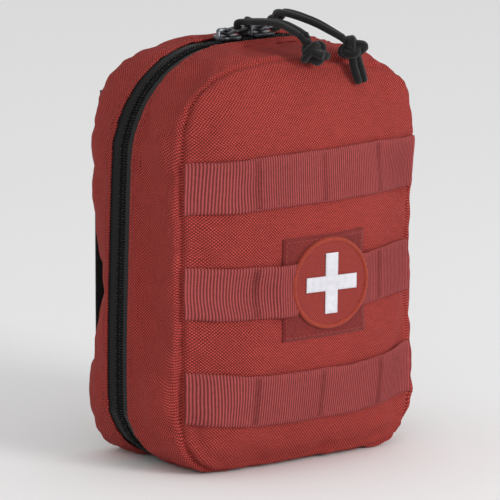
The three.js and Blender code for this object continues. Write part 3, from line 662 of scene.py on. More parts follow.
def rounded_body(half, top, top_radius, bottom_radius):
    corners = []
    for x, z, radius, start in (
        (half - bottom_radius, bottom_radius, bottom_radius, -90),
        (half - top_radius, top - top_radius, top_radius, 0),
    ):
        for step in range(7):
            angle = math.radians(start + 15 * step)
            corners.append((x + radius * math.cos(angle), z + radius * math.sin(angle)))
        if start < 0:
            corners.append((half, z + 40))
    right = [(x * spread(z), z) for x, z in corners]
    return right + [(-x, z) for x, z in reversed(right)]


def spread(z):
    """How much wider than its top the body is at a height: fullest a little above its foot."""
    return 0.993 + 0.052 * math.exp(-(((z - 50) / 32) ** 2))


ZIP_EDGE = Outline(rounded_body(75, HEIGHT, 56, 30))
FRONT_SEAM = Outline(
    [(-68.3, 30), (-68.3, 62), (-68.3, 95), (-68.3, 130), (-67.8, 160), (-65, 176), (-56, 188.5),
     (-38.5, 196.5), (-15.6, 199.2), (8, 197.8), (30, 194), (46, 190.5), (59, 186), (66.5, 177.5), (69, 163),
     (67.6, 138), (64.8, 108), (65, 75), (67, 42), (66.8, 18), (58, 4.5), (40, 1), (0, 0.6), (-30, 0.5),
     (-50, 2), (-62.5, 11), (-67.4, 20)]
)
LEFT_BACK = [(-30, 0.8), (-52, 2), (-63, 7), (-67.8, 20), (-68.4, 32), (-68, 50), (-67.6, 66), (-67.4, 86),
             (-67.4, 107), (-67.2, 125), (-67, 145), (-66.4, 158), (-64.8, 170), (-60.6, 182), (-53, 189),
             (-38, 194.5), (-12, 197)]
BACK_SEAM = Outline(LEFT_BACK + [(-x, z) for x, z in reversed(LEFT_BACK)])
print("zip outline, half width:", round(ZIP_EDGE.curve[:, 0].max(), 1))

# %% [markdown]
# A half of the pouch is one skin: a grid over its flat panel and rings of quads down its wall to the zip.
# Even quads let the cloth simulation wrinkle without a grain. The grid's edge is blended inwards from its
# four sides, so its lines follow the seam, and the last rings turn under as the hem beside the zip.

# %% Helpers for the skin of one half
GRID_ACROSS, GRID_UP = 34, 50
STATIONS = 2 * (GRID_ACROSS + GRID_UP)
FIRST_CORNER = -2.56


def even_stations(outline):
    phi = np.linspace(FIRST_CORNER, FIRST_CORNER + 2 * math.pi, 4001)
    spots = outline.at(phi)
    travelled = np.concatenate([[0], np.cumsum(np.linalg.norm(np.diff(spots, axis=0), axis=1))])
    return np.interp(np.linspace(0, travelled[-1], STATIONS, endpoint=False), travelled, phi)


def wall_ring(outer, seam, phi, y, inset, share):
    spots = (1 - share) * outer.at(phi, inset) + share * seam.at(phi, inset)
    return np.stack([spots[:, 0], np.full(len(phi), y), spots[:, 1]], -1)


def skin(outer, seam, hem, wall, panel_surface):
    """Points, faces, cloth map and index lists of one half. Wall entries are (y, inset, share of taper)."""
    phi = even_stations(seam)
    rings = [wall_ring(outer, seam, phi, *entry) for entry in hem + wall]
    rim = rings[-1][:, [0, 2]]
    left, top = rim[: GRID_UP + 1], rim[GRID_UP : GRID_UP + GRID_ACROSS + 1]
    right = rim[GRID_UP + GRID_ACROSS : 2 * GRID_UP + GRID_ACROSS + 1][::-1]
    bottom = np.concatenate([rim[2 * GRID_UP + GRID_ACROSS :], rim[:1]])[::-1]
    u, v = np.meshgrid(np.linspace(0, 1, GRID_ACROSS + 1), np.linspace(0, 1, GRID_UP + 1), indexing="ij")
    u, v = u[..., None], v[..., None]
    flat = (1 - u) * left[None] + u * right[None] + (1 - v) * bottom[:, None] + v * top[:, None]
    flat -= (1 - u) * (1 - v) * left[0] + u * (1 - v) * right[0] + (1 - u) * v * left[-1] + u * v * right[-1]
    number = np.full((GRID_ACROSS + 1, GRID_UP + 1), -1)
    last = (len(rings) - 1) * STATIONS
    edge = [(0, j) for j in range(GRID_UP)] + [(i, GRID_UP) for i in range(GRID_ACROSS)]
    edge += [(GRID_ACROSS, GRID_UP - j) for j in range(GRID_UP)]
    edge += [(GRID_ACROSS - i, 0) for i in range(GRID_ACROSS)]
    for station, (i, j) in enumerate(edge):
        number[i, j] = last + station
    inner = np.argwhere(number < 0)
    number[tuple(inner.T)] = len(rings) * STATIONS + np.arange(len(inner))
    spots = flat[tuple(inner.T)]
    panel = np.stack([spots[:, 0], panel_surface(spots[:, 0], spots[:, 1]), spots[:, 1]], -1)
    points = np.concatenate(rings + [panel])
    wall_faces = grid_quads(len(rings), STATIONS, wrap_columns=True)
    corners = [number[:-1, :-1], number[1:, :-1], number[1:, 1:], number[:-1, 1:]]
    panel_faces = np.stack(corners, -1).reshape(-1, 4)
    run = np.linalg.norm(np.roll(rings[0], -1, 0) - rings[0], axis=1)
    travelled = np.concatenate([[0], np.cumsum(run)])
    deep = np.array([ring[:, 1].mean() for ring in rings])
    corner_uv = []
    for face in wall_faces:
        columns = face % STATIONS
        wraps = columns.max() - columns.min() > 1
        round_trip = [STATIONS if wraps and c == 0 else c for c in columns]
        corner_uv += [(travelled[c], deep[f // STATIONS]) for f, c in zip(face, round_trip)]
    corner_uv += [(points[f][0], points[f][2]) for face in panel_faces for f in face]
    faces = np.concatenate([wall_faces, panel_faces])
    return points, faces, corner_uv, {"hem": len(hem) * STATIONS, "seam": (last, last + STATIONS)}


print("stations round each half:", STATIONS)

# %% [markdown]
# The cover is padded and stuffed. Its crown rises steeply from the left seam and more gently from the
# right, where the contents lie lower. Blender's Cloth then swells the skin under a light pressure while the
# zip edge and the sewn seam are held, which gives the soft hollows of real padding. The movement is capped,
# so that the measured shape stays.

# %% Cloth simulation of one skin
SIM_FRAMES = 20
SEAM_CREASE = 0.85


def settled(points, faces, held, pressure, cap, rough, seed):
    rng = np.random.default_rng(seed)
    mesh = build_mesh("settling", points, faces)
    made = link("settling", mesh)
    start = millimetres(coords(mesh))
    loose = np.setdiff1d(np.arange(len(start)), np.flatnonzero(held >= 1))
    bumps = rng.normal(0, rough, (len(start), 3))
    moved = start.copy()
    moved[loose] += bumps[loose]
    flat = metres(moved).ravel()
    mesh.vertices.foreach_set("co", flat)
    group = made.vertex_groups.new(name="sewn")
    for weight in np.unique(held[held > 0]):
        group.add([int(i) for i in np.flatnonzero(held == weight)], float(weight), "REPLACE")
    cloth = made.modifiers.new("cloth", "CLOTH")
    settings = cloth.settings
    settings.quality = 6
    settings.mass = 0.25
    settings.tension_stiffness = settings.compression_stiffness = 18
    settings.shear_stiffness = 8
    settings.bending_stiffness = 0.6
    settings.shrink_min = -0.035
    settings.use_pressure = True
    settings.uniform_pressure_force = pressure
    settings.vertex_group_mass = "sewn"
    settings.effector_weights.gravity = 0
    cloth.point_cache.frame_start, cloth.point_cache.frame_end = 1, SIM_FRAMES
    for step in range(1, SIM_FRAMES + 1):
        scene.frame_set(step)
    depsgraph = bpy.context.evaluated_depsgraph_get()
    result = millimetres(coords(made.evaluated_get(depsgraph).data))
    bpy.data.objects.remove(made)
    scene.frame_set(1)
    move = result - start
    size = np.linalg.norm(move, axis=1)
    print("cloth moved, mm: median", round(float(np.median(size)), 2), "most", round(float(size.max()), 2))
    return start + move * (np.minimum(size, cap) / np.maximum(size, 1e-9))[:, None]


def finished_skin(name, points, faces, corner_uv, seam, levels):
    """Subdivides the settled skin and keeps its seam as a crisp edge."""
    mesh = build_mesh(name, points, faces, corner_uv=corner_uv)
    crease = mesh.attributes.new("crease_edge", "FLOAT", "EDGE")
    low, high = seam
    on_seam = [all(low <= v < high for v in edge.vertices) for edge in mesh.edges]
    crease.data.foreach_set("value", [SEAM_CREASE * sewn for sewn in on_seam])
    made = link(name, mesh)
    smooth = made.modifiers.new("smooth", "SUBSURF")
    smooth.levels = smooth.render_levels = levels
    return plain_result(made, name)


def pucker(made, seam_line, reach, depth, corner_depth, seed):
    """Gathers the cloth in small waves along a seam, deeper where the seam turns a corner."""
    rng = np.random.default_rng(seed)
    tree = KDTree(len(seam_line))
    for index, spot in enumerate(seam_line):
        tree.insert(spot, index)
    tree.balance()
    ahead = np.roll(seam_line, -1, 0) - seam_line
    step = np.linalg.norm(ahead, axis=1)
    travelled = np.cumsum(step)
    turning = np.roll(ahead, -3, 0) / step[:, None] - np.roll(ahead, 3, 0) / step[:, None]
    bend = np.linalg.norm(turning, axis=1)
    corner = smoothstep(bend, 0.03, 0.25)
    waves = sum(
        height * np.sin(2 * math.pi * travelled / wave + rng.uniform(0, 6.3))
        for wave, height in ((6.5, 0.4), (9.7, 0.6), (17, 0.5))
    )
    lift = waves * (depth + corner * corner_depth)
    mesh = made.data
    spots = coords(mesh)
    normals = np.zeros(len(mesh.vertices) * 3)
    mesh.vertices.foreach_get("normal", normals)
    normals = normals.reshape(-1, 3)
    for index, spot in enumerate(millimetres(spots)):
        _, nearest, away = tree.find(spot)
        if away < 3 * reach:
            fade = math.exp(-away / reach) * min(1, away / 1.5)
            spots[index] += normals[index] * lift[nearest] * fade * MM
    mesh.vertices.foreach_set("co", spots.ravel())
    mesh.update()


# %% [markdown]
# Tight thread pulls the seam itself down between the two padded panels. The cloth dips along the seam and
# swells a little on both sides of it. The pouch stands on its lower end, so the cloth there is pressed
# flat.

# %% The sunk seam
STANDS_AT = 0.6
EASED_WITHIN = 7.0


def sink_seam(made, seam_line, depth, half_width, swell):
    line = spline(seam_line, 2400, closed=True)
    tree = KDTree(len(line))
    for index, spot in enumerate(line):
        tree.insert(spot, index)
    tree.balance()
    mesh = made.data
    away = np.array([tree.find(spot)[2] for spot in millimetres(coords(mesh))])
    work = bmesh.new()
    work.from_mesh(mesh)
    work.verts.ensure_lookup_table()
    near = [work.verts[int(index)] for index in np.flatnonzero(away < EASED_WITHIN)]
    for _ in range(3):
        bmesh.ops.smooth_vert(work, verts=near, factor=0.5, use_axis_x=True, use_axis_y=True, use_axis_z=True)
    work.to_mesh(mesh)
    work.free()
    spots = coords(mesh)
    normals = np.zeros(len(mesh.vertices) * 3)
    mesh.vertices.foreach_get("normal", normals)
    dip = -depth * np.exp(-((away / half_width) ** 2))
    rise = swell * np.exp(-(((away - 3.4 * half_width) / (1.5 * half_width)) ** 2))
    spots += normals.reshape(-1, 3) * (dip + rise)[:, None] * MM
    spots[:, 2] = np.maximum(spots[:, 2], STANDS_AT * MM)
    mesh.vertices.foreach_set("co", spots.ravel())
    mesh.update()


# %% [markdown]
# A skin that is open at the zip has an inside and an outside, and all its faces must look out. The sign of
# the sum of each face's normal with its direction from the middle of the half settles it.

# %% Turning an open skin outwards


def skin_outwards(made, middle):
    work = bmesh.new()
    work.from_mesh(made.data)
    bmesh.ops.recalc_face_normals(work, faces=work.faces)
    middle = Vector(metres(np.array(middle, float)))
    score = sum(f.normal.dot(f.calc_center_median() - middle) * f.calc_area() for f in work.faces)
    if score < 0:
        bmesh.ops.reverse_faces(work, faces=work.faces)
    work.to_mesh(made.data)
    work.free()


# %% [markdown]
# The cover's wall starts at the zip with a turned hem, runs forward and rounds over into the front seam.

# %% The padded cover
FRONT_DEPTH = 42.0
CROWN = 19.2
STEEP_SHOULDER, GENTLE_SHOULDER = 4.3, 1.5
FRONT_EASE = ([8.5, 18, 26, 31, 36.5, 40.2, 42], [0, 0.0, 0.03, 0.1, 0.3, 0.62, 1])


def front_share(y):
    return float(np.interp(-y, *FRONT_EASE))


def reach_out(x, z):
    phi = np.arctan2(x, z - MIDDLE_HEIGHT)
    edge = FRONT_SEAM.at(phi)
    far = np.hypot(edge[:, 0], edge[:, 1] - MIDDLE_HEIGHT)
    return np.minimum(np.hypot(x, z - MIDDLE_HEIGHT) / far, 1), phi


def crown_surface(x, z):
    reach, phi = reach_out(np.asarray(x, float), np.asarray(z, float))
    power = STEEP_SHOULDER + (GENTLE_SHOULDER - STEEP_SHOULDER) * smoothstep(np.sin(phi), -0.1, 0.85)
    ripple = 0.5 * np.cos((np.asarray(z) - 91) / 50.8 * 2 * math.pi)
    return -FRONT_DEPTH - (CROWN - ripple) * (1 - reach**power)


HEM_FRONT = [(-14, 1.9, 0), (-10.2, 1.8, 0), (-8.7, 1.3, 0), (-8.3, 0.6, 0)]
RINGS_FRONT = (-8.8, -10.4, -12.4, -15, -18.6, -22.4, -26.2, -30, -33.6, -36.8, -39.2, -40.9, -42)
WALL_FRONT = [(y, 0.0, front_share(y)) for y in RINGS_FRONT]
points, COVER_FACES, corner_uv, cover_index = skin(ZIP_EDGE, FRONT_SEAM, HEM_FRONT, WALL_FRONT, crown_surface)
seam_low, seam_high = cover_index["seam"]


def wall_dents(points, seed):
    """Long soft hollows in the wall, as padded cloth takes when it has been packed flat."""
    rng = np.random.default_rng(seed)
    shaped = points.copy()
    depth = smoothstep(-points[:, 1], 12, 24) * (1 - smoothstep(-points[:, 1], 33, 41))
    outward = points[:, [0, 2]] - [0, MIDDLE_HEIGHT]
    outward /= np.maximum(np.linalg.norm(outward, axis=1), 1)[:, None]
    phi = np.arctan2(points[:, 0], points[:, 2] - MIDDLE_HEIGHT)
    waves = sum(a * np.sin(n * phi + rng.uniform(0, 6.3)) for n, a in ((5, 0.5), (9, 0.5), (14, 0.35)))
    hollow = -3.2 * np.exp(-(((points[:, 2] - 88) / 30) ** 2)) * np.exp(-(((points[:, 1] + 24) / 8) ** 2))
    shaped[:, [0, 2]] += outward * (depth * waves + hollow)[:, None]
    return shaped


points = wall_dents(points, 4)
held = np.zeros(len(points))
held[: cover_index["hem"] + 2 * STATIONS] = 1
held[seam_low:seam_high] = 1
COVER_POINTS = settled(points, COVER_FACES, held, pressure=3.0, cap=3.2, rough=0.35, seed=11)
cover = finished_skin("cover_shell", COVER_POINTS, COVER_FACES, corner_uv, cover_index["seam"], 2)
skin_outwards(cover, (0, -20, 100))
pucker(cover, COVER_POINTS[seam_low:seam_high], 4.5, 0.18, 0.55, 5)
pucker(cover, COVER_POINTS[cover_index["hem"] : cover_index["hem"] + STATIONS], 4.0, 0.1, 0.3, 6)
sink_seam(cover, COVER_POINTS[seam_low:seam_high], 1.6, 1.1, 0.5)
dress(cover, RED_CLOTH, "front_half", ["front_panel", "front_gusset"])
print("cover faces:", len(cover.data.polygons))

# %% [markdown]
# Other pieces lie on the cover, so they need to know where its surface is. A ray shot from in front finds
# it, and stiff pieces such as webbing ask for a smoothed answer.

# %% Finding the cover's surface
COVER_TREE = BVHTree.FromPolygons(
    [tuple(p) for p in millimetres(coords(cover.data))], [tuple(p.vertices) for p in cover.data.polygons]
)


def cover_front(x, z):
    flat_x, flat_z = np.ravel(x), np.ravel(z)
    found = []
    for a, b in zip(flat_x, flat_z):
        spot = COVER_TREE.ray_cast(Vector((a, -120, b)), Vector((0, 1, 0)))[0]
        if spot is None:
            spot = COVER_TREE.find_nearest(Vector((a, -FRONT_DEPTH, b)))[0]
        found.append(spot.y)
    return np.array(found).reshape(np.shape(x))


def smoothed(field, times=2):
    for _ in range(times):
        for axis in (0, 1):
            edge = np.pad(field, [(1, 1) if a == axis else (0, 0) for a in (0, 1)], mode="edge")
            near = [slice(None)] * 2
            parts = []
            for shift in (0, 1, 2):
                near[axis] = slice(shift, shift + field.shape[axis])
                parts.append(edge[tuple(near)])
            field = 0.25 * parts[0] + 0.5 * parts[1] + 0.25 * parts[2]
    return field


print("cover front at its middle:", round(float(cover_front(np.array([0.0]), np.array([95.0]))[0]), 1))

# %% [markdown]
# The tray is the back half. Its wall is shorter, and the two taut straps draw its back edge in at the
# waist, so the points near that edge are moved forwards and inwards there.

# %% The back tray
BACK_DEPTH, HALF_WIDTH = 34.0, 68
WAIST_HEIGHT, WAIST_REACH, WAIST_PULL, WAIST_IN = 84.0, 28.0, 8.0, 5.0
BACK_EASE = ([8.5, 18, 25, 30, 32.6, 34], [0, 0.06, 0.22, 0.5, 0.78, 1])


def at_waist(points):
    pulled = np.array(points, float)
    pinch = np.exp(-(((pulled[:, 2] - WAIST_HEIGHT) / WAIST_REACH) ** 2))
    outwards = smoothstep(np.abs(pulled[:, 0]) / HALF_WIDTH, 0.35, 1)
    edge = outwards * smoothstep(pulled[:, 1], 14, 34)
    side = outwards * smoothstep(pulled[:, 1], 10, 28)
    pulled[:, 1] -= WAIST_PULL * pinch * edge
    pulled[:, 0] -= WAIST_IN * pinch * side * np.sign(pulled[:, 0])
    return pulled


HEM_BACK = [(14, 1.9, 0), (10.2, 1.8, 0), (8.7, 1.3, 0), (8.3, 0.6, 0)]
RINGS_BACK = (8.8, 10.4, 12.6, 15.6, 19, 22.6, 26, 29, 31.4, 33, 34)
WALL_BACK = [(y, 0.0, float(np.interp(y, *BACK_EASE))) for y in RINGS_BACK]
points, TRAY_FACES, corner_uv, tray_index = skin(
    ZIP_EDGE, BACK_SEAM, HEM_BACK, WALL_BACK, lambda x, z: np.full(len(x), BACK_DEPTH)
)
points = at_waist(points)
held = np.zeros(len(points))
held[: tray_index["hem"] + 2 * STATIONS] = 1
held[tray_index["seam"][0] : tray_index["seam"][1]] = 1
held[tray_index["seam"][1] :] = 0.9
TRAY_POINTS = settled(points, TRAY_FACES, held, pressure=1.2, cap=1.6, rough=0.3, seed=12)
tray = finished_skin("tray_shell", TRAY_POINTS, TRAY_FACES, corner_uv, tray_index["seam"], 2)
skin_outwards(tray, (0, 20, 100))
pucker(tray, TRAY_POINTS[tray_index["seam"][0] : tray_index["seam"][1]], 4.5, 0.15, 0.45, 7)
pucker(tray, TRAY_POINTS[tray_index["hem"] : tray_index["hem"] + STATIONS], 4.0, 0.1, 0.3, 8)
sink_seam(tray, TRAY_POINTS[tray_index["seam"][0] : tray_index["seam"][1]], 0.7, 1.1, 0.0)
dress(tray, RED_CLOTH, "back_half", ["back_panel", "back_gusset"])
TRAY_TREE = BVHTree.FromPolygons(
    [tuple(p) for p in millimetres(coords(tray.data))], [tuple(p.vertices) for p in tray.data.polygons]
)


def tray_back(x, z):
    found = []
    for a, b in zip(np.ravel(x), np.ravel(z)):
        spot = TRAY_TREE.ray_cast(Vector((a, 120, b)), Vector((0, -1, 0)))[0]
        found.append(BACK_DEPTH if spot is None else spot.y)
    return np.array(found).reshape(np.shape(x))


print("tray faces:", len(tray.data.polygons))

# %% [markdown]
# Inside each half a thin black lining follows the skin. It is the coarse skin moved inwards along its
# normals, so it can be light, and it hides the wrong side of the cloth when the pouch is open.

# %% Linings
LINING_INSIDE = 2.7


def lining(name, skin_points, faces, hem_end, middle, body):
    cloth_map = skin_points[:, [0, 2]] + skin_points[:, [1, 1]]
    made = link(name, build_mesh(name, skin_points, faces, uv=cloth_map))
    skin_outwards(made, middle)
    mesh = made.data
    normals = np.zeros(len(mesh.vertices) * 3)
    mesh.vertices.foreach_get("normal", normals)
    moved = coords(mesh) - normals.reshape(-1, 3) * LINING_INSIDE * MM
    mesh.vertices.foreach_set("co", moved.ravel())
    work = bmesh.new()
    work.from_mesh(mesh)
    work.verts.ensure_lookup_table()
    bmesh.ops.delete(work, geom=work.verts[: hem_end + STATIONS], context="VERTS")
    bmesh.ops.reverse_faces(work, faces=work.faces)
    work.to_mesh(mesh)
    work.free()
    made.modifiers.new("smooth", "SUBSURF").levels = 1
    thick = made.modifiers.new("thick", "SOLIDIFY")
    thick.thickness, thick.offset = 0.5 * MM, 1.0
    return dress(plain_result(made, name), BLACK_LINING, body)


lining("cover_lining", COVER_POINTS, COVER_FACES, cover_index["hem"], (0, -20, 100), "front_half")
lining("tray_lining", TRAY_POINTS, TRAY_FACES, tray_index["hem"], (0, 20, 100), "back_half")
print("linings made")

# %% [markdown]
# Bindings and zip tapes are bands that follow an outline. A band is its cross-section carried round: closed
# for a binding, and open at the foot for a tape, because the zip stops there.

# %% Bands that follow an outline
OPEN_HALF = 44.0
OPEN_ANGLE = math.atan2(OPEN_HALF, MIDDLE_HEIGHT)


def follow(seam, section, shares, samples, closed, waist=False):
    limit = math.pi if closed else math.pi - OPEN_ANGLE
    phi = np.linspace(-limit, limit, samples, endpoint=not closed)
    rings = [wall_ring(ZIP_EDGE, seam, phi, y, inset, share) for (y, inset), share in zip(section, shares)]
    if waist:
        rings = [at_waist(ring) for ring in rings]
    points = np.concatenate(rings)
    run = np.concatenate([[0], np.cumsum(np.linalg.norm(np.diff(rings[0], axis=0), axis=1))])
    uv = np.concatenate([np.stack([run, np.full(samples, 1.1 * k)], -1) for k in range(len(rings))])
    faces = [list(f) for f in grid_quads(len(rings), samples, wrap_rows=True, wrap_columns=closed)]
    if not closed:
        ends = [[k * samples for k in range(len(rings))], [(k + 1) * samples - 1 for k in range(len(rings))]]
        faces += [ends[0][::-1], ends[1]]
    return points, faces, uv


def rounded_section(y0, y1, near, far, corner=0.5):
    low, high = min(y0, y1), max(y0, y1)
    return [(low + corner, near), (high - corner, near), (high, near + corner), (high, far - corner),
            (high - corner, far), (low + corner, far), (low, far - corner), (low, near + corner)]


for name, seam, y0, y1, body, node, waist in (
    ("cover_binding", FRONT_SEAM, -41.4, -38.4, "front_half", "front_binding", False),
    ("tray_binding", BACK_SEAM, 28.7, 31.9, "back_half", "back_binding", True),
):
    points, faces, uv = follow(seam, rounded_section(y0, y1, 3.0, 4.8), [0.92] * 8, 360, True, waist)
    piece(name, points, faces, BLACK_CLOTH, body, [node], uv)

TAPE_NEAR = 0.04
for label, side in (("front", -1), ("back", 1)):
    section = rounded_section(side * TAPE_NEAR, side * 13, 2.4, 3.1, 0.2)
    points, faces, uv = follow(FRONT_SEAM, section, [0] * 8, 640, False)
    piece(f"zip_tape_{label}_woven", points, faces, BLACK_CLOTH, f"{label}_half", [f"zip_tape_{label}"],
          uv)
print("bands made")

# %% [markdown]
# The zip's coil and every row of stitches are one small shape repeated along a path, which is work for
# Geometry Nodes. The tree turns a line of edges into a curve, drops a point every Pitch, sets a rounded
# bead there turned to the curve, and makes it all real geometry with a material. Across, Along and Deep are
# the bead's three sizes.

# %% Geometry Nodes: beads along a path


def bead_tree():
    tree, inp, out = new_group(
        "beads_along_a_path",
        "GeometryNodeTree",
        [
            ("Path", "NodeSocketGeometry", None),
            ("Pitch", "NodeSocketFloat", 0.002),
            ("Along", "NodeSocketFloat", 0.001),
            ("Across", "NodeSocketFloat", 0.0003),
            ("Deep", "NodeSocketFloat", 0.0003),
            ("Jitter", "NodeSocketFloat", 0.0),
            ("Finish", "NodeSocketMaterial", None),
        ],
        [("Beads", "NodeSocketGeometry")],
    )
    curve = add_node(tree, "GeometryNodeMeshToCurve", {"Mesh": inp["Path"]})
    dots = add_node(
        tree, "GeometryNodeCurveToPoints", {"Curve": curve.outputs[0], "Length": inp["Pitch"]}, mode="LENGTH"
    )
    ball = add_node(tree, "GeometryNodeMeshIcoSphere", {"Radius": 0.5, "Subdivisions": 2})
    size = add_node(tree, "ShaderNodeCombineXYZ", {"X": inp["Deep"], "Y": inp["Across"], "Z": inp["Along"]})
    bead = add_node(tree, "GeometryNodeTransform", {"Geometry": ball.outputs[0], "Scale": size.outputs[0]})
    wander = add_node(tree, "FunctionNodeRandomValue", {"Seed": 3}, data_type="FLOAT_VECTOR")
    wander.inputs["Min"].default_value, wander.inputs["Max"].default_value = (-1, -1, -1), (1, 1, 1)
    turn = add_node(tree, "ShaderNodeVectorMath", {0: wander.outputs["Value"]}, operation="SCALE")
    tree.links.new(inp["Jitter"], turn.inputs["Scale"])
    euler = add_node(tree, "FunctionNodeEulerToRotation", {0: turn.outputs[0]})
    rotation = add_node(tree, "FunctionNodeRotateRotation")
    tree.links.new(dots.outputs["Rotation"], rotation.inputs[0])
    tree.links.new(euler.outputs[0], rotation.inputs[1])
    beads = add_node(
        tree,
        "GeometryNodeInstanceOnPoints",
        {"Points": dots.outputs["Points"], "Instance": bead.outputs[0], "Rotation": rotation.outputs[0]},
    )
    real = add_node(tree, "GeometryNodeRealizeInstances", {"Geometry": beads.outputs[0]})
    smooth = add_node(tree, "GeometryNodeSetShadeSmooth", {"Geometry": real.outputs[0]}).outputs[0]
    finish = add_node(tree, "GeometryNodeSetMaterial", {"Geometry": smooth, "Material": inp["Finish"]})
    tree.links.new(finish.outputs[0], out.inputs["Beads"])
    return tree


# %% [markdown]
# A bar tack is a tight zigzag of thread, so a second tree sweeps a round thread along a path instead.

# %% Geometry Nodes: thread along a path


def thread_tree():
    tree, inp, out = new_group(
        "thread_along_a_path",
        "GeometryNodeTree",
        [
            ("Path", "NodeSocketGeometry", None),
            ("Radius", "NodeSocketFloat", 0.0002),
            ("Sides", "NodeSocketInt", 6),
            ("Finish", "NodeSocketMaterial", None),
        ],
        [("Thread", "NodeSocketGeometry")],
    )
    curve = add_node(tree, "GeometryNodeMeshToCurve", {"Mesh": inp["Path"]})
    ring_size = {"Radius": inp["Radius"], "Resolution": inp["Sides"]}
    ring = add_node(tree, "GeometryNodeCurvePrimitiveCircle", ring_size, mode="RADIUS")
    sweep = add_node(
        tree,
        "GeometryNodeCurveToMesh",
        {"Curve": curve.outputs[0], "Profile Curve": ring.outputs[0], "Fill Caps": True},
    )
    real = add_node(tree, "GeometryNodeRealizeInstances", {"Geometry": sweep.outputs[0]})
    smooth = add_node(tree, "GeometryNodeSetShadeSmooth", {"Geometry": real.outputs[0]}).outputs[0]
    finish = add_node(tree, "GeometryNodeSetMaterial", {"Geometry": smooth, "Material": inp["Finish"]})
    tree.links.new(finish.outputs[0], out.inputs["Thread"])
    return tree


BEADS, THREAD = bead_tree(), thread_tree()


def grow(name, tree, lines, body, values, nodes=()):
    """Runs a tree on a set of lines, each a list of points in millimetres, and keeps the plain mesh."""
    points, edges = [], []
    for line in lines:
        first = len(points)
        points += [tuple(p) for p in metres(line)]
        edges += [(k, k + 1) for k in range(first, len(points) - 1)]
    mesh = bpy.data.meshes.new(name)
    mesh.from_pydata(points, edges, [])
    made = link(name, mesh)
    modifier = made.modifiers.new(tree.name, "NODES")
    modifier.node_group = tree
    for item in tree.interface.items_tree:
        if item.in_out == "INPUT" and item.name in values:
            modifier[item.identifier] = values[item.name]
    result = plain_result(made, name)
    layer = result.data.uv_layers.new(name=CLOTH_MAP)
    corners = np.zeros(len(result.data.loops), np.int32)
    result.data.loops.foreach_get("vertex_index", corners)
    layer.data.foreach_set("uv", (coords(result.data) / MM)[corners][:, [0, 2]].astype(np.float32).ravel())
    return dress(result, values["Finish"], body, nodes)


# %% [markdown]
# The coil lies in the middle of the tapes. Each side's loops reach almost to the middle, set half a pitch
# apart, and a row of dark grey stitches holds each side to its tape.

# %% Zip coil and its stitches
COIL_PITCH = 1.35
for label, side, start in (("front", -1, 0.0), ("back", 1, 0.5)):
    phi = np.linspace(-math.pi + OPEN_ANGLE, math.pi - OPEN_ANGLE, 1500)
    coil = wall_ring(ZIP_EDGE, FRONT_SEAM, phi, side * 1.6, 1.75, 0)
    coil = coil[int(round(start * 3)) :]
    loops = {"Pitch": COIL_PITCH * MM, "Along": 0.85 * MM, "Across": 3.1 * MM, "Deep": 1.5 * MM}
    grow(f"zip_coil_{label}", BEADS, [coil], f"{label}_half", {**loops, "Finish": BLACK_TEETH},
         [f"zip_teeth_{label}"])
    sewn = wall_ring(ZIP_EDGE, FRONT_SEAM, phi, side * 1.5, 0.98, 0)
    dots = {"Pitch": 2.1 * MM, "Along": 0.7 * MM, "Across": 0.4 * MM, "Deep": 0.35 * MM}
    grow(f"zip_coil_stitches_{label}", BEADS, [sewn], f"{label}_half", {**dots, "Finish": ZIP_THREAD})
print("coil made")

# %% [markdown]
# The hems beside the zip are held by a row of red stitches on each side. The row is laid on the settled
# skin: each point of the planned line moves to the nearest point of the cloth and sinks a little, as tight
# thread does.

# %% Rows of stitches beside the zip


def laid_on(tree, line, rise):
    placed = []
    for spot in line:
        found, normal, _, _ = tree.find_nearest(Vector(spot))
        placed.append(np.array(found) + np.array(normal) * rise)
    return np.array(placed)


STITCH = {"Pitch": 3.1 * MM, "Along": 2.4 * MM, "Across": 0.5 * MM, "Deep": 0.45 * MM, "Jitter": 0.06}
for label, side, tree, seam in (("front", -1, COVER_TREE, FRONT_SEAM), ("back", 1, TRAY_TREE, BACK_SEAM)):
    phi = np.linspace(-math.pi + 0.55, math.pi - 0.55, 700)
    line = laid_on(tree, wall_ring(ZIP_EDGE, seam, phi, side * 11.4, -1.5, 0), 0.12)
    grow(f"hem_stitches_{label}", BEADS, [line], f"{label}_half", {**STITCH, "Finish": RED_THREAD})

# %% [markdown]
# The webbing is a thick ribbed band, sewn into the side seams and tacked down at three places. Between the
# tacks it stands a little off the cloth, which is how gear is threaded behind it. Its ribs run across the
# band, and they are real ridges in the mesh.

# %% Front webbing
ROW_HALF, ROW_PITCH, ROW_MIDDLE = 12.7, 50.8, 91.0
TACKS = (-38.0, 0.0, 38.0)
RIB_PITCH, RIB_DEPTH = 1.3, 0.2
WEBBING_THICK = 1.2
FIELD_HALF = 25.0
WEBBING_STOP = 17.5
ROW_BOW, ROW_REACH = 0.055, 68.3
TACK_HALF, TACK_STEP = 1.9, 0.5


def seam_x(side, z):
    half = FRONT_SEAM.curve[FRONT_SEAM.curve[:, 0] * side > 20]
    order = np.argsort(half[:, 1])
    return float(np.interp(z, half[order, 1], half[order, 0]))


def slack(x, stops):
    """Nought at every tack and seam, and rising to one between them."""
    result = np.zeros_like(x)
    for low, high in zip(stops[:-1], stops[1:]):
        inside = (x >= low) & (x <= high)
        result[inside] = np.sin(math.pi * (x[inside] - low) / (high - low)) ** 2
    return result


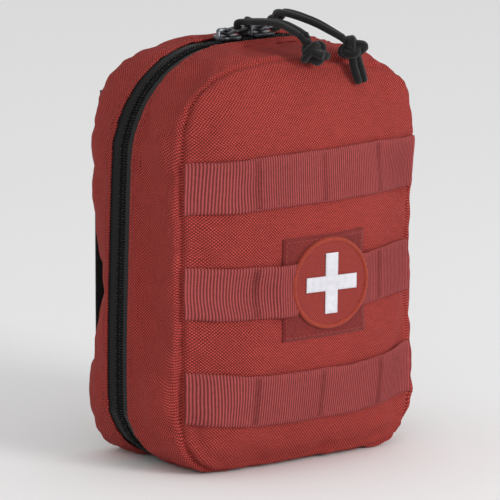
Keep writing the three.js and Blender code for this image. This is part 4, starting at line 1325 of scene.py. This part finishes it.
def webbing_row(name, node, height, x0, x1, stops, lift, seed):
    rng = np.random.default_rng(seed)
    samples = int((x1 - x0) / RIB_PITCH * 6)
    x = np.linspace(x0, x1, samples)
    v = np.linspace(-1, 1, 15)
    bow = ROW_BOW * (height - ROW_MIDDLE) * (1 - (x / ROW_REACH) ** 2)
    edge_wave = 0.35 * np.sin(x / 9 + rng.uniform(0, 6)) + 0.25 * np.sin(x / 4.3 + rng.uniform(0, 6))
    grid_x = np.repeat(x[:, None], len(v), 1)
    grid_z = height + v[None] * ROW_HALF + bow[:, None] + 0.5 * edge_wave[:, None]
    coarse = slice(None, None, 12)
    under = smoothed(cover_front(grid_x[coarse], grid_z[coarse]), 3)
    under = np.stack([np.interp(x, x[coarse], under[:, k]) for k in range(len(v))], -1)
    open_share = slack(x, stops)[:, None]
    sag = 0.5 + lift[0] + lift[1] * open_share * (0.55 + 0.45 * v[None] ** 2)
    flutter = 0.3 * open_share * np.sin(x / 7 + rng.uniform(0, 6))[:, None] * v[None]
    back_y = under - sag - flutter
    if "middle" in name:
        past = (np.abs(x) - FIELD_HALF) / 4
        back_y -= (1.6 * np.clip(1.5 - past, 0, 1))[:, None]
    ribs = RIB_DEPTH * (0.5 + 0.5 * np.cos(2 * math.pi * x / RIB_PITCH))[:, None] * (1 - v[None] ** 10)
    tacked = sum(np.exp(-(((x - tack) / TACK_HALF) ** 4)) for tack in stops)[:, None]
    ribs = ribs * (1 - 0.8 * np.clip(tacked, 0, 1))
    selvedge = 0.45 * v[None] ** 16
    front_y = back_y - WEBBING_THICK - ribs + selvedge + 0.12 * np.clip(tacked, 0, 1)
    front = np.stack([grid_x, front_y, grid_z], -1)
    back = np.stack([grid_x, back_y, grid_z], -1)
    points, faces = slab(front, back)
    uv = np.concatenate([np.stack([grid_x, grid_z], -1).reshape(-1, 2)] * 2)
    piece(name, points, faces, RED_WEBBING, "front_half", [node], uv)
    return lambda at, w: front_at(x, v, front, at, w)


def front_at(x, v, front, at, w):
    column = np.array([np.interp(at, x, front[:, k, 1]) for k in range(len(v))])
    rise = np.array([np.interp(at, x, front[:, k, 2]) for k in range(len(v))])
    return np.array([at, np.interp(w, v, column), np.interp(w, v, rise)])


ROWS = {}
LOW_LIFT, HIGH_LIFT, SPLIT_LIFT = 0.1, 0.5, 0.4
for row, height, seed in (("upper", ROW_MIDDLE + ROW_PITCH, 21), ("lower", ROW_MIDDLE - ROW_PITCH, 22)):
    x0, x1 = seam_x(-1, height) + 0.7, seam_x(1, height) - 0.7
    surface = webbing_row(f"webbing_{row}_row", f"webbing_{row}", height, x0, x1, (x0, *TACKS, x1),
                          (LOW_LIFT, HIGH_LIFT), seed)
    ROWS[row] = (surface, TACKS)
left_seam, right_seam = seam_x(-1, ROW_MIDDLE) + 0.7, seam_x(1, ROW_MIDDLE) - 0.7
for row, x0, x1, tack, seed in (
    ("middle_left", left_seam, -WEBBING_STOP, TACKS[0], 23),
    ("middle_right", WEBBING_STOP, right_seam, TACKS[-1], 24),
):
    surface = webbing_row(f"webbing_{row}_row", f"webbing_{row}", ROW_MIDDLE, x0, x1, (x0, tack, x1),
                          (LOW_LIFT, SPLIT_LIFT), seed)
    ROWS[row] = (surface, (tack,))
print("webbing rows:", len(ROWS))

# %% [markdown]
# Each tack is a zigzag of thread down the whole height of the band.

# %% Bar tacks
lines = []
for surface, tacks in ROWS.values():
    for tack in tacks:
        steps = int(2 * 0.94 * ROW_HALF / TACK_STEP)
        line = [
            surface(tack + TACK_HALF * (1 if k % 2 else -1), -0.94 + 1.88 * k / steps) - [0, 0.04, 0]
            for k in range(steps + 1)
        ]
        lines.append(line)
grow("bar_tacks", THREAD, lines, "front_half", {"Radius": 0.17 * MM, "Sides": 6, "Finish": RED_THREAD})

# %% [markdown]
# Behind the badge a square of hook-and-loop pile is sewn to the cover. Pile is a dense mat of tiny loops:
# the square gets a rough surface with real height, a thin pressed edge and a row of stitches.

# %% Loop field
FIELD_CENTRE = 91.0
rng = np.random.default_rng(31)
side_steps = np.linspace(-FIELD_HALF, FIELD_HALF, 110)
gx, gz = np.meshgrid(side_steps, side_steps + FIELD_CENTRE, indexing="ij")
coarse = slice(None, None, 5)
under = smoothed(cover_front(gx[coarse, coarse], gz[coarse, coarse]), 2)
coarse_steps = side_steps[coarse]
under = np.stack([np.interp(side_steps, coarse_steps, under[:, k]) for k in range(under.shape[1])], -1)
under = np.stack([np.interp(side_steps, coarse_steps, under[k]) for k in range(under.shape[0])], 0)
rim = np.minimum(FIELD_HALF - np.abs(gx), FIELD_HALF - np.abs(gz - FIELD_CENTRE))
tufts = 0.16 * smoothed(rng.normal(0, 1.4, gx.shape), 1) * smoothstep(rim, 1, 3)
raised = 0.35 + 0.85 * smoothstep(rim, 0, 1.6) + tufts
points, faces = slab(np.stack([gx, under - 0.25 - raised, gz], -1), np.stack([gx, under - 0.05, gz], -1))
piece("loop_field_pile", points, faces, RED_LOOP, "front_half", ["loop_field"])
inset = FIELD_HALF - 1.7
square = [(-inset, -inset), (inset, -inset), (inset, inset), (-inset, inset), (-inset, -inset)]
line = []
for (ax, az), (bx, bz) in zip(square[:-1], square[1:]):
    for t in np.linspace(0, 1, 60, endpoint=False):
        x, z = ax + (bx - ax) * t, az + (bz - az) * t + FIELD_CENTRE
        i, j = (np.abs(side_steps - v).argmin() for v in (x, z - FIELD_CENTRE))
        line.append((x, under[i, j] - 1.35, z))
short_stitch = {**STITCH, "Pitch": 2.6 * MM, "Along": 2.0 * MM, "Finish": RED_THREAD}
grow("loop_field_stitches", BEADS, [line], "front_half", short_stitch)

# %% [markdown]
# The badge is an embroidered disc: twill with a white satin-stitch plus and a thick woven edge. Its parts
# are drawn about its own middle and turned slightly, as it was pressed on by hand. The edge is a ring
# of slanting threads, so its surface ripples round the circle.

# %% Badge
BADGE_X, BADGE_Z, BADGE_RADIUS, BADGE_TURN = 1.7, 92.5, 22.4, math.radians(1)
BORDER_WIDTH = 2.3


def badge_points(points):
    p = np.array(points, float)
    x = p[:, 0] * math.cos(BADGE_TURN) + p[:, 2] * math.sin(BADGE_TURN)
    z = -p[:, 0] * math.sin(BADGE_TURN) + p[:, 2] * math.cos(BADGE_TURN)
    return np.stack([x + BADGE_X, p[:, 1], z + BADGE_Z], -1)


def node_y(name):
    low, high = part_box(name)
    return low.y / MM - ZIP_LINE, high.y / MM - ZIP_LINE


disc_front, disc_back = node_y("patch_disc")
border_front, border_back = node_y("patch_border")
backing_front, backing_back = node_y("patch_backing")
cross_back = node_y("patch_cross")[1]


def turned_disc(radii_and_y, steps=96):
    angles = np.linspace(0, 2 * math.pi, steps, endpoint=False)
    one = np.ones(steps)
    rings = [np.stack([r * np.cos(angles), y * one, r * np.sin(angles)], -1) for r, y in radii_and_y]
    faces = [list(f) for f in grid_quads(len(rings), steps, wrap_columns=True)]
    faces += [list(range(steps))[::-1], [(len(rings) - 1) * steps + k for k in range(steps)]]
    return badge_points(np.concatenate(rings)), faces


inner = BADGE_RADIUS - BORDER_WIDTH + 0.5
rings = [(0.5, disc_front - 0.25), (6, disc_front - 0.22), (12, disc_front - 0.1), (17, disc_front),
         (inner, disc_front + 0.2), (inner, disc_back), (0.5, disc_back)]
points, faces = turned_disc(rings)
piece("badge_twill", points, faces, PATCH_TWILL, "patch", ["patch_disc"],
      uv=points[:, [0, 2]], sharp=50)
points, faces = turned_disc([(0.5, backing_front), (14.6, backing_front), (15, backing_front + 0.4),
                             (15, backing_back - 0.3), (14.7, backing_back), (0.5, backing_back)])
piece("badge_hook_backing", points, faces, BLACK_CLOTH, "patch", ["patch_backing"],
      uv=points[:, [0, 2]], sharp=50)

THREADS_ROUND, PER_THREAD, SECTION = 170, 6, 16
angles = np.linspace(0, 2 * math.pi, THREADS_ROUND * PER_THREAD, endpoint=False)
turns = np.linspace(0, 2 * math.pi, SECTION, endpoint=False)
a, t = np.meshgrid(angles, turns, indexing="ij")
thread = 0.14 * np.abs(np.sin(THREADS_ROUND / 2 * a + 0.9 * np.cos(t) + 0.15 * np.sin(7 * a)))
uneven = 0.05 * np.sin(11 * a + 1) + 0.04 * np.sin(23 * a)
middle_y = (border_front + border_back) / 2
r = BADGE_RADIUS - BORDER_WIDTH / 2 + (BORDER_WIDTH / 2 + thread + uneven) * np.cos(t)
y = middle_y + ((border_back - border_front) / 2 - 0.15 + thread) * np.sin(t)
points = badge_points(np.stack([r * np.cos(a), y, r * np.sin(a)], -1).reshape(-1, 3))
faces = grid_quads(len(angles), SECTION, wrap_rows=True, wrap_columns=True)
piece("badge_woven_edge", points, faces, BORDER_THREAD, "patch", ["patch_border"])

# %% [markdown]
# Satin stitch is a bed of parallel threads with a rounded top. The plus is drawn as a fine grid of heights:
# full in the middle of each arm, falling at its edges, with a ridge for every thread.

# %% White plus
REACH, ARM_HALF, SATIN_THICK = 14.75, 3.6, 0.75


def satin_block(x0, x1, z0, z1, threads_along_x):
    xs, zs = np.linspace(x0, x1, int((x1 - x0) / 0.16) + 1), np.linspace(z0, z1, int((z1 - z0) / 0.16) + 1)
    gx, gz = np.meshgrid(xs, zs, indexing="ij")
    in_bar = np.minimum(REACH - np.abs(gx), ARM_HALF - np.abs(gz))
    in_post = np.minimum(ARM_HALF - np.abs(gx), REACH - np.abs(gz))
    to_edge = np.maximum(in_bar, in_post)
    across = gz if threads_along_x else gx
    ridge = 0.07 * np.abs(np.sin(math.pi * across / 0.5))
    height = SATIN_THICK * (0.35 + 0.65 * smoothstep(to_edge, -0.3, 1.1)) + ridge
    front = np.stack([gx, cross_back - 0.05 - height, gz], -1)
    back = np.stack([gx, np.full(gx.shape, cross_back), gz], -1)
    points, faces = slab(front, back)
    return badge_points(points), faces, points[:, [2, 0]] if threads_along_x else points[:, [0, 2]]


blocks = [
    satin_block(-ARM_HALF, ARM_HALF, -REACH, REACH, True),
    satin_block(-REACH, -ARM_HALF + 0.01, -ARM_HALF, ARM_HALF, False),
    satin_block(ARM_HALF - 0.01, REACH, -ARM_HALF, ARM_HALF, False),
]
points, faces, uv = joined_parts(blocks)
piece("badge_plus", points, faces, WHITE_THREAD, "patch", ["patch_cross"], uv)
print("badge made")

# %% [markdown]
# The bottom fold joins the halves below the zip. It is cloth across a joint, so it is attached to neither
# body instead of riding on one.

# %% Bottom fold
FOLD_HALF = 40.0
rows = np.linspace(-FOLD_HALF, FOLD_HALF, 61)
across = np.linspace(-11.5, 11.5, 25)
gx, gy = np.meshgrid(rows, across, indexing="ij")
low = np.stack([gx, gy, 0.35 + 0.5 * smoothstep(np.abs(gy), 8, 11.5)], -1)
high = low + [0, 0, 1.1]
points, faces = slab(low, high)
fold = link("bottom_fold", closed_outwards(build_mesh("bottom_fold", points, faces, uv=points[:, :2])))
fold.data.materials.append(RED_CLOTH)
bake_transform(fold)
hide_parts("hinge_flap", "bottom_hinge")

# %% [markdown]
# Hard parts from the frame have the right shape but sharp edges. A copy of each is merged, given a small
# bevel so that its edges catch the light, and stands for the original.

# %% Bevelled copies of frame nodes


def bevelled(node, material, body, width, segments=2):
    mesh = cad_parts[node].data.copy()
    work = bmesh.new()
    work.from_mesh(mesh)
    bmesh.ops.remove_doubles(work, verts=work.verts, dist=0.00001)
    bmesh.ops.dissolve_limit(work, angle_limit=0.02, verts=work.verts, edges=work.edges)
    work.to_mesh(mesh)
    work.free()
    mesh.shade_smooth()
    for layer in list(mesh.uv_layers):
        mesh.uv_layers.remove(layer)
    made = link(node + "_finished", mesh)
    bevel = made.modifiers.new("bevel", "BEVEL")
    bevel.width, bevel.segments, bevel.limit_method = width * MM, segments, "ANGLE"
    made = plain_result(made, node + "_finished")
    mesh = made.data
    mesh.set_sharp_from_angle(angle=math.radians(40))
    layer = mesh.uv_layers.new(name=CLOTH_MAP)
    corners = np.zeros(len(mesh.loops), np.int32)
    mesh.loops.foreach_get("vertex_index", corners)
    layer.data.foreach_set("uv", (coords(mesh) / MM)[corners][:, [0, 2]].astype(np.float32).ravel())
    return dress(made, material, body, [node])


for side_name in ("left", "right"):
    bevelled(f"slider_{side_name}", DARK_METAL, f"slider_{side_name}", 0.25)
    bevelled(f"pull_tab_{side_name}", DARK_METAL, f"pull_{side_name}", 0.3)
    bevelled(f"zip_stop_{side_name}", BLACK_CLOTH, "back_half", 0.3)
print("hard parts finished")

# %% [markdown]
# A snap's cap and stud are pressed from round sheet, so each is turned about its own axis: a low dome with
# a rolled rim for the cap, and a plain stepped button for the stud.

# %% Snaps


def turned_snap(node, body, steps_out):
    low, high = (np.array(c) / MM - [0, ZIP_LINE, 0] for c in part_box(node))
    centre, radius, thick = (low + high) / 2, (high[0] - low[0]) / 2, high[1] - low[1]
    angles = np.linspace(0, 2 * math.pi, 64, endpoint=False)
    rings = [
        np.stack([centre[0] + radius * share * np.cos(angles), np.full(64, low[1] + thick * rise),
                  centre[2] + radius * share * np.sin(angles)], -1)
        for share, rise in steps_out
    ]
    faces = [list(f) for f in grid_quads(len(rings), 64, wrap_columns=True)]
    faces += [list(range(64))[::-1], [(len(rings) - 1) * 64 + k for k in range(64)]]
    points = np.concatenate(rings)
    cloth_map = points[:, [0, 2]]
    return piece(f"{node}_turned", points, faces, SNAP_METAL, body, [node], cloth_map, sharp=35)


CAP_STEPS = [(0.02, 0.0), (0.96, 0.0), (1.0, 0.2), (0.99, 0.5), (0.94, 0.68), (0.86, 0.7), (0.8, 0.66),
             (0.62, 0.84), (0.4, 0.95), (0.2, 0.99), (0.02, 1.0)]
STUD_STEPS = [(0.02, 0.0), (0.94, 0.0), (1.0, 0.15), (1.0, 0.85), (0.94, 1.0), (0.5, 1.0), (0.02, 1.0)]
for side_name in ("left", "right"):
    turned_snap(f"snap_cap_{side_name}", f"strap_{side_name}", CAP_STEPS)
    turned_snap(f"snap_stud_{side_name}", "back_half", STUD_STEPS)

# %% [markdown]
# Straps and rear webbing are woven bands like the front rows. One function makes a flat ribbed band over
# any surface, and the straps use it with a straight line.

# %% Rear straps, anchors and rear webbing


def band_over(
    name, node, body, material, x0, x1, z0, z1, face, back, ribs_along_x, rib=0.14, pitch=1.5, neck=0.0
):
    nx, nz = (int((x1 - x0) / pitch * 5), 14) if ribs_along_x else (14, int((z1 - z0) / pitch * 5))
    xs, zs = np.linspace(x0, x1, nx), np.linspace(z0, z1, nz)
    gx, gz = np.meshgrid(xs, zs, indexing="ij")
    if ribs_along_x:
        run, width = gx, (gz - (z0 + z1) / 2) / ((z1 - z0) / 2)
    else:
        run, width = gz, (gx - (x0 + x1) / 2) / ((x1 - x0) / 2)
    ridge = rib * (0.5 + 0.5 * np.cos(2 * math.pi * run / pitch)) * (1 - width**10) - 0.35 * width**16
    drawn_in = (gx - (x0 + x1) / 2) * (1 - neck * smoothstep(gz, z1 - NECK_REACH, z1)) + (x0 + x1) / 2
    front = np.stack([drawn_in, face(gx, gz) + ridge - rib, gz], -1)
    points, faces = slab(front, np.stack([drawn_in, back(gx, gz), gz], -1))
    uv = points[:, [0, 2]] if ribs_along_x else points[:, [2, 0]]
    return piece(name, points, faces, material, body, [node], uv)


def level(y):
    return lambda x, z: y + 0 * x


NECK = 0.22
NECK_REACH = 36
SEWN_IN, ANCHOR_SUNK = 2, 0.6
for side_name in ("left", "right"):
    low, high = (np.array(c) / MM - [0, ZIP_LINE, 0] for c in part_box(f"strap_{side_name}"))
    x0, x1, inner_y, outer_y = low[0], high[0], low[1], high[1]
    band_over(f"strap_{side_name}_woven", f"strap_{side_name}", f"strap_{side_name}", BLACK_CLOTH,
              x0, x1, low[2], high[2], level(outer_y), level(inner_y), False, neck=NECK)
    low, high = (np.array(c) / MM - [0, ZIP_LINE, 0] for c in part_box(f"strap_anchor_{side_name}"))
    x0, x1 = x0 + NECK * (x1 - x0) / 2, x1 - NECK * (x1 - x0) / 2
    z0, z1, inner_y = low[2], high[2], low[1]
    band_over(f"strap_anchor_{side_name}_woven", f"strap_anchor_{side_name}", "back_half", BLACK_CLOTH,
              x0, x1, z0, z1, level(outer_y - ANCHOR_SUNK), level(inner_y), False)
    left, right, foot, top = x0 + SEWN_IN, x1 - SEWN_IN, z0 + SEWN_IN, z1 - SEWN_IN
    edge = [(left, foot), (right, foot), (right, top), (left, top), (left, foot), (right, top)]
    line = [
        (ax + (bx - ax) * t, outer_y - 0.5, az + (bz - az) * t)
        for (ax, az), (bx, bz) in zip(edge[:-1], edge[1:])
        for t in np.linspace(0, 1, 24, endpoint=False)
    ]
    grow(f"strap_anchor_{side_name}_stitches", BEADS, [line], "back_half",
         {**STITCH, "Pitch": 2.2 * MM, "Along": 1.7 * MM, "Finish": BLACK_THREAD})



def behind(height, half, extra):
    """A surface that lies on the tray's back over one row, the same all the way up the row."""
    spots = np.linspace(-half, half, 40)
    up = np.linspace(height - 12, height + 12, 5)
    rest = np.array([tray_back(np.full(5, x), up).mean() for x in spots])
    return lambda x, z: np.interp(x, spots, rest) + extra


for row, place, half in (("lower", -1, 65.0), ("middle", 0, 59.5), ("upper", 1, 65.0)):
    height = ROW_MIDDLE + place * ROW_PITCH
    band_over(f"rear_webbing_{row}", f"back_webbing_{row}", "back_half", RED_WEBBING,
              -half, half, height - ROW_HALF, height + ROW_HALF, behind(height, half, 1.5),
              behind(height, half, 0.2), True, 0.16, RIB_PITCH)
print("rear made")

# %% [markdown]
# Inside the tray two bands of elastic hold rolled bandages and flat packs. Elastic is gathered, so it
# bulges over what it holds and is drawn down between. Rolls are made from their own spiral: a strip wound
# on itself shows as rings at the ends.

# %% Elastic bands
ORG_HALF = 48.0


def elastic(name, node, loops):
    low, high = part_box(node)
    front_y, back_y = low.y / MM - ZIP_LINE, high.y / MM - ZIP_LINE
    z0, z1 = low.z / MM, high.z / MM
    xs, zs = np.linspace(-ORG_HALF, ORG_HALF, 260), np.linspace(z0, z1, 30)
    gx, gz = np.meshgrid(xs, zs, indexing="ij")
    phase = (gx + ORG_HALF) / (2 * ORG_HALF) * loops
    bulge = np.clip(np.abs(np.sin(math.pi * phase)) * 4.2, 0, 1) ** 0.8
    face = back_y - 1.0 - (back_y - front_y - 1.2) * bulge
    gather = 0.16 * np.cos(2 * math.pi * gz / 1.6) + 0.12 * np.cos(2 * math.pi * gx / 1.9)
    points, faces = slab(np.stack([gx, face - gather * 0.5, gz], -1), np.stack([gx, face + 1.0, gz], -1))
    return piece(name, points, faces, BLACK_CLOTH, "back_half", [node], points[:, [2, 0]])


elastic("elastic_band_lower", "elastic_loops_lower", 3)
elastic("elastic_band_upper", "elastic_loops_upper", 2)

# %% Rolled bandages


def roll(name, node, radius, foot, top, x, y):
    turns, steps = 7, 48
    angles = np.linspace(0, 2 * math.pi, steps, endpoint=False)
    profile = [(0.4, foot + 0.9)]
    for ring in range(1, turns):
        r = radius * ring / turns
        profile += [(r - 0.45, foot + 0.9), (r - 0.15, foot), (r + 0.15, foot), (r + 0.45, foot + 0.9)]
    profile += [(radius - 0.5, foot + 0.2), (radius, foot + 0.8)]
    profile += [(radius + 0.12 * math.sin(z), z) for z in np.linspace(foot + 2, top - 2, 24)]
    profile += [(radius, top - 0.8), (radius - 0.5, top - 0.2)]
    for ring in range(turns - 1, 0, -1):
        r = radius * ring / turns
        profile += [(r + 0.45, top - 0.9), (r + 0.15, top), (r - 0.15, top), (r - 0.45, top - 0.9)]
    profile += [(0.4, top - 0.9)]
    rings = []
    for r, z in profile:
        wrap = r + (0.5 * (angles / (2 * math.pi)) - 0.25) * (r > radius - 0.3)
        rings.append(np.stack([x + wrap * np.cos(angles), y + wrap * np.sin(angles), np.full(steps, z)], -1))
    points = np.concatenate(rings)
    faces = [list(f) for f in grid_quads(len(rings), steps, wrap_columns=True)]
    faces += [list(range(steps)), [(len(rings) - 1) * steps + k for k in range(steps)][::-1]]
    around = np.concatenate([np.stack([ring[:, 2], angles * radius], -1) for ring in rings])
    return piece(name, points, faces, CREPE, "back_half", [node], around, sharp=60)


for side_name in ("left", "middle", "right"):
    low, high = (np.array(c) / MM - [0, ZIP_LINE, 0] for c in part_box(f"bandage_roll_{side_name}"))
    x, y = (low[:2] + high[:2]) / 2
    roll(f"bandage_{side_name}_wound", f"bandage_roll_{side_name}", (high[0] - low[0]) / 2 - 0.3,
         low[2], high[2], x, y)

# %% [markdown]
# Dressings and gloves come in sealed wrappers. Such a pack is a pillow: thick in the middle, flat and
# crimped at its two sealed ends. Folded cloth is a stack of layers with rounded folds.

# %% Packs


def sealed_pack(name, node, body, material, seed):
    rng = np.random.default_rng(seed)
    low, high = (np.array(c) / MM - [0, ZIP_LINE, 0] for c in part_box(node))
    xs, zs = np.linspace(low[0], high[0], 46), np.linspace(low[2], high[2], 80)
    gx, gz = np.meshgrid(xs, zs, indexing="ij")
    u = (gx - low[0]) / (high[0] - low[0]) * 2 - 1
    v = (gz - low[2]) / (high[2] - low[2]) * 2 - 1
    full = (1 - np.abs(u) ** 5) * (1 - smoothstep(np.abs(v), 0.72, 0.93))
    crimp = 0.22 * np.sin(2 * math.pi * gz / 2.2) * smoothstep(np.abs(v), 0.9, 0.94)
    crease = smoothed(rng.normal(0, 1.3, gx.shape), 4) * full * 0.7
    middle, half = (low[1] + high[1]) / 2, (high[1] - low[1]) / 2 - 1.0
    front = np.stack([gx, middle - 0.3 - half * full + crimp - crease, gz], -1)
    back = np.stack([gx, middle + 0.3 + half * full + crimp, gz], -1)
    points, faces = slab(front, back)
    return piece(name, points, faces, material, body, [node])


def folded_cloth(name, node, body, material, layers=6):
    low, high = (np.array(c) / MM - [0, ZIP_LINE, 0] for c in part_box(node))
    depth = high[1] - low[1] - 0.6
    width = (high[0] - low[0]) / 2
    parts = []
    for layer in range(layers):
        y0 = low[1] + 0.3 + depth * layer / layers
        thick = depth / layers - 0.15
        shrink = 0.5 * (layer % 2) + 0.3
        xs = np.linspace(-width + shrink, width - shrink, 40) + (low[0] + high[0]) / 2
        zs = np.linspace(low[2] + shrink, high[2] - shrink - 0.8 * (layer % 3), 60)
        gx, gz = np.meshgrid(xs, zs, indexing="ij")
        u = (gx - (low[0] + high[0]) / 2) / width
        wave = 0.25 * np.sin(gz / 9 + layer) * np.cos(gx / 11 + layer)
        pinch = thick / 2 * (np.abs(u) ** 12)
        front = np.stack([gx, y0 + pinch + wave * 0.3, gz], -1)
        back = np.stack([gx, y0 + thick - pinch + wave * 0.3, gz], -1)
        points, faces = slab(front, back)
        parts.append((points, [list(f) for f in faces], points[:, [0, 2]]))
    points, faces, uv = joined_parts(parts)
    return piece(name, points, faces, material, body, [node], uv)


sealed_pack("dressing_pack_sealed", "dressing_pack", "back_half", PAPER_WRAP, 41)
sealed_pack("wipes_pack_sealed", "wipes_pack", "back_half", PAPER_WRAP, 42)
sealed_pack("glove_pack_sealed", "glove_pack", "front_half", PAPER_WRAP, 43)
folded_cloth("triangular_bandage_folded", "triangular_bandage", "front_half", GAUZE)

# %% [markdown]
# The pocket in the cover has a front of open mesh. The mesh is real netting: two families of slanting
# threads swept by the thread tree, which leave diamond holes to see through.

# %% Mesh pocket


def netting(low, high, step=3.4):
    (x0, y, z0), (x1, _, z1) = low, high
    lines = []
    span = (x1 - x0) + (z1 - z0)
    for offset in np.arange(step / 2, span, step):
        for mirrored in (False, True):
            start = (x0 + min(offset, x1 - x0), z0 + max(0, offset - (x1 - x0)))
            end = (x0 + max(0, offset - (z1 - z0)), z0 + min(offset, z1 - z0))
            ends = [(x0 + x1 - x, z) if mirrored else (x, z) for x, z in (start, end)]
            lines.append([(x, y + (0.25 if mirrored else -0.25), z) for x, z in ends])
    return lines


low, high = (np.array(c) / MM - [0, ZIP_LINE, 0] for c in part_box("pocket_mesh"))
middle_y = (low[1] + high[1]) / 2
low[1] = high[1] = middle_y
net_thread = {"Radius": 0.42 * MM, "Sides": 5, "Finish": BLACK_THREAD}
grow("pocket_netting", THREAD, netting(low, high), "front_half", net_thread, ["pocket_mesh"])
bevelled("pocket_sides", BLACK_CLOTH, "front_half", 0.3)
bevelled("pocket_trim", BLACK_CLOTH, "front_half", 0.4)
print("pocket made")

# %% [markdown]
# A pale floor and a soft white surround stand for the studio. One large light from the front right gives
# shape, and the bright surround keeps the shadows open.

# %% Studio
floor_mesh = bpy.data.meshes.new("floor")
floor_mesh.from_pydata([(-8, -8, 0), (8, -8, 0), (8, 8, 0), (-8, 8, 0)], [], [(0, 1, 2, 3)])
floor = link("floor", floor_mesh)
floor_material = bpy.data.materials.new("floor_paint")
floor_material.use_nodes = True
floor_shader = floor_material.node_tree.nodes["Principled BSDF"]
floor_shader.inputs["Base Color"].default_value = (0.93, 0.93, 0.93, 1)
floor_shader.inputs["Roughness"].default_value = 0.9
floor_mesh.materials.append(floor_material)

world = bpy.data.worlds.new("studio")
world.use_nodes = True
world.node_tree.nodes["Background"].inputs["Color"].default_value = (1.0, 1.0, 1.0, 1)
world.node_tree.nodes["Background"].inputs["Strength"].default_value = 0.7
scene.world = world
scene.view_settings.view_transform = "Standard"


def area_light(name, place, size, power):
    light = bpy.data.lights.new(name, "AREA")
    light.shape, light.size, light.energy = "DISK", size, power
    made = bpy.data.objects.new(name, light)
    scene.collection.objects.link(made)
    made.location = place
    made.rotation_mode = "QUATERNION"
    made.rotation_quaternion = (AIM - Vector(place)).to_track_quat("-Z", "Y")


area_light("key", (0.5, -1.9, 0.8), 0.9, 23)
area_light("fill", (-1.4, -1.4, 0.9), 1.2, 2.5)
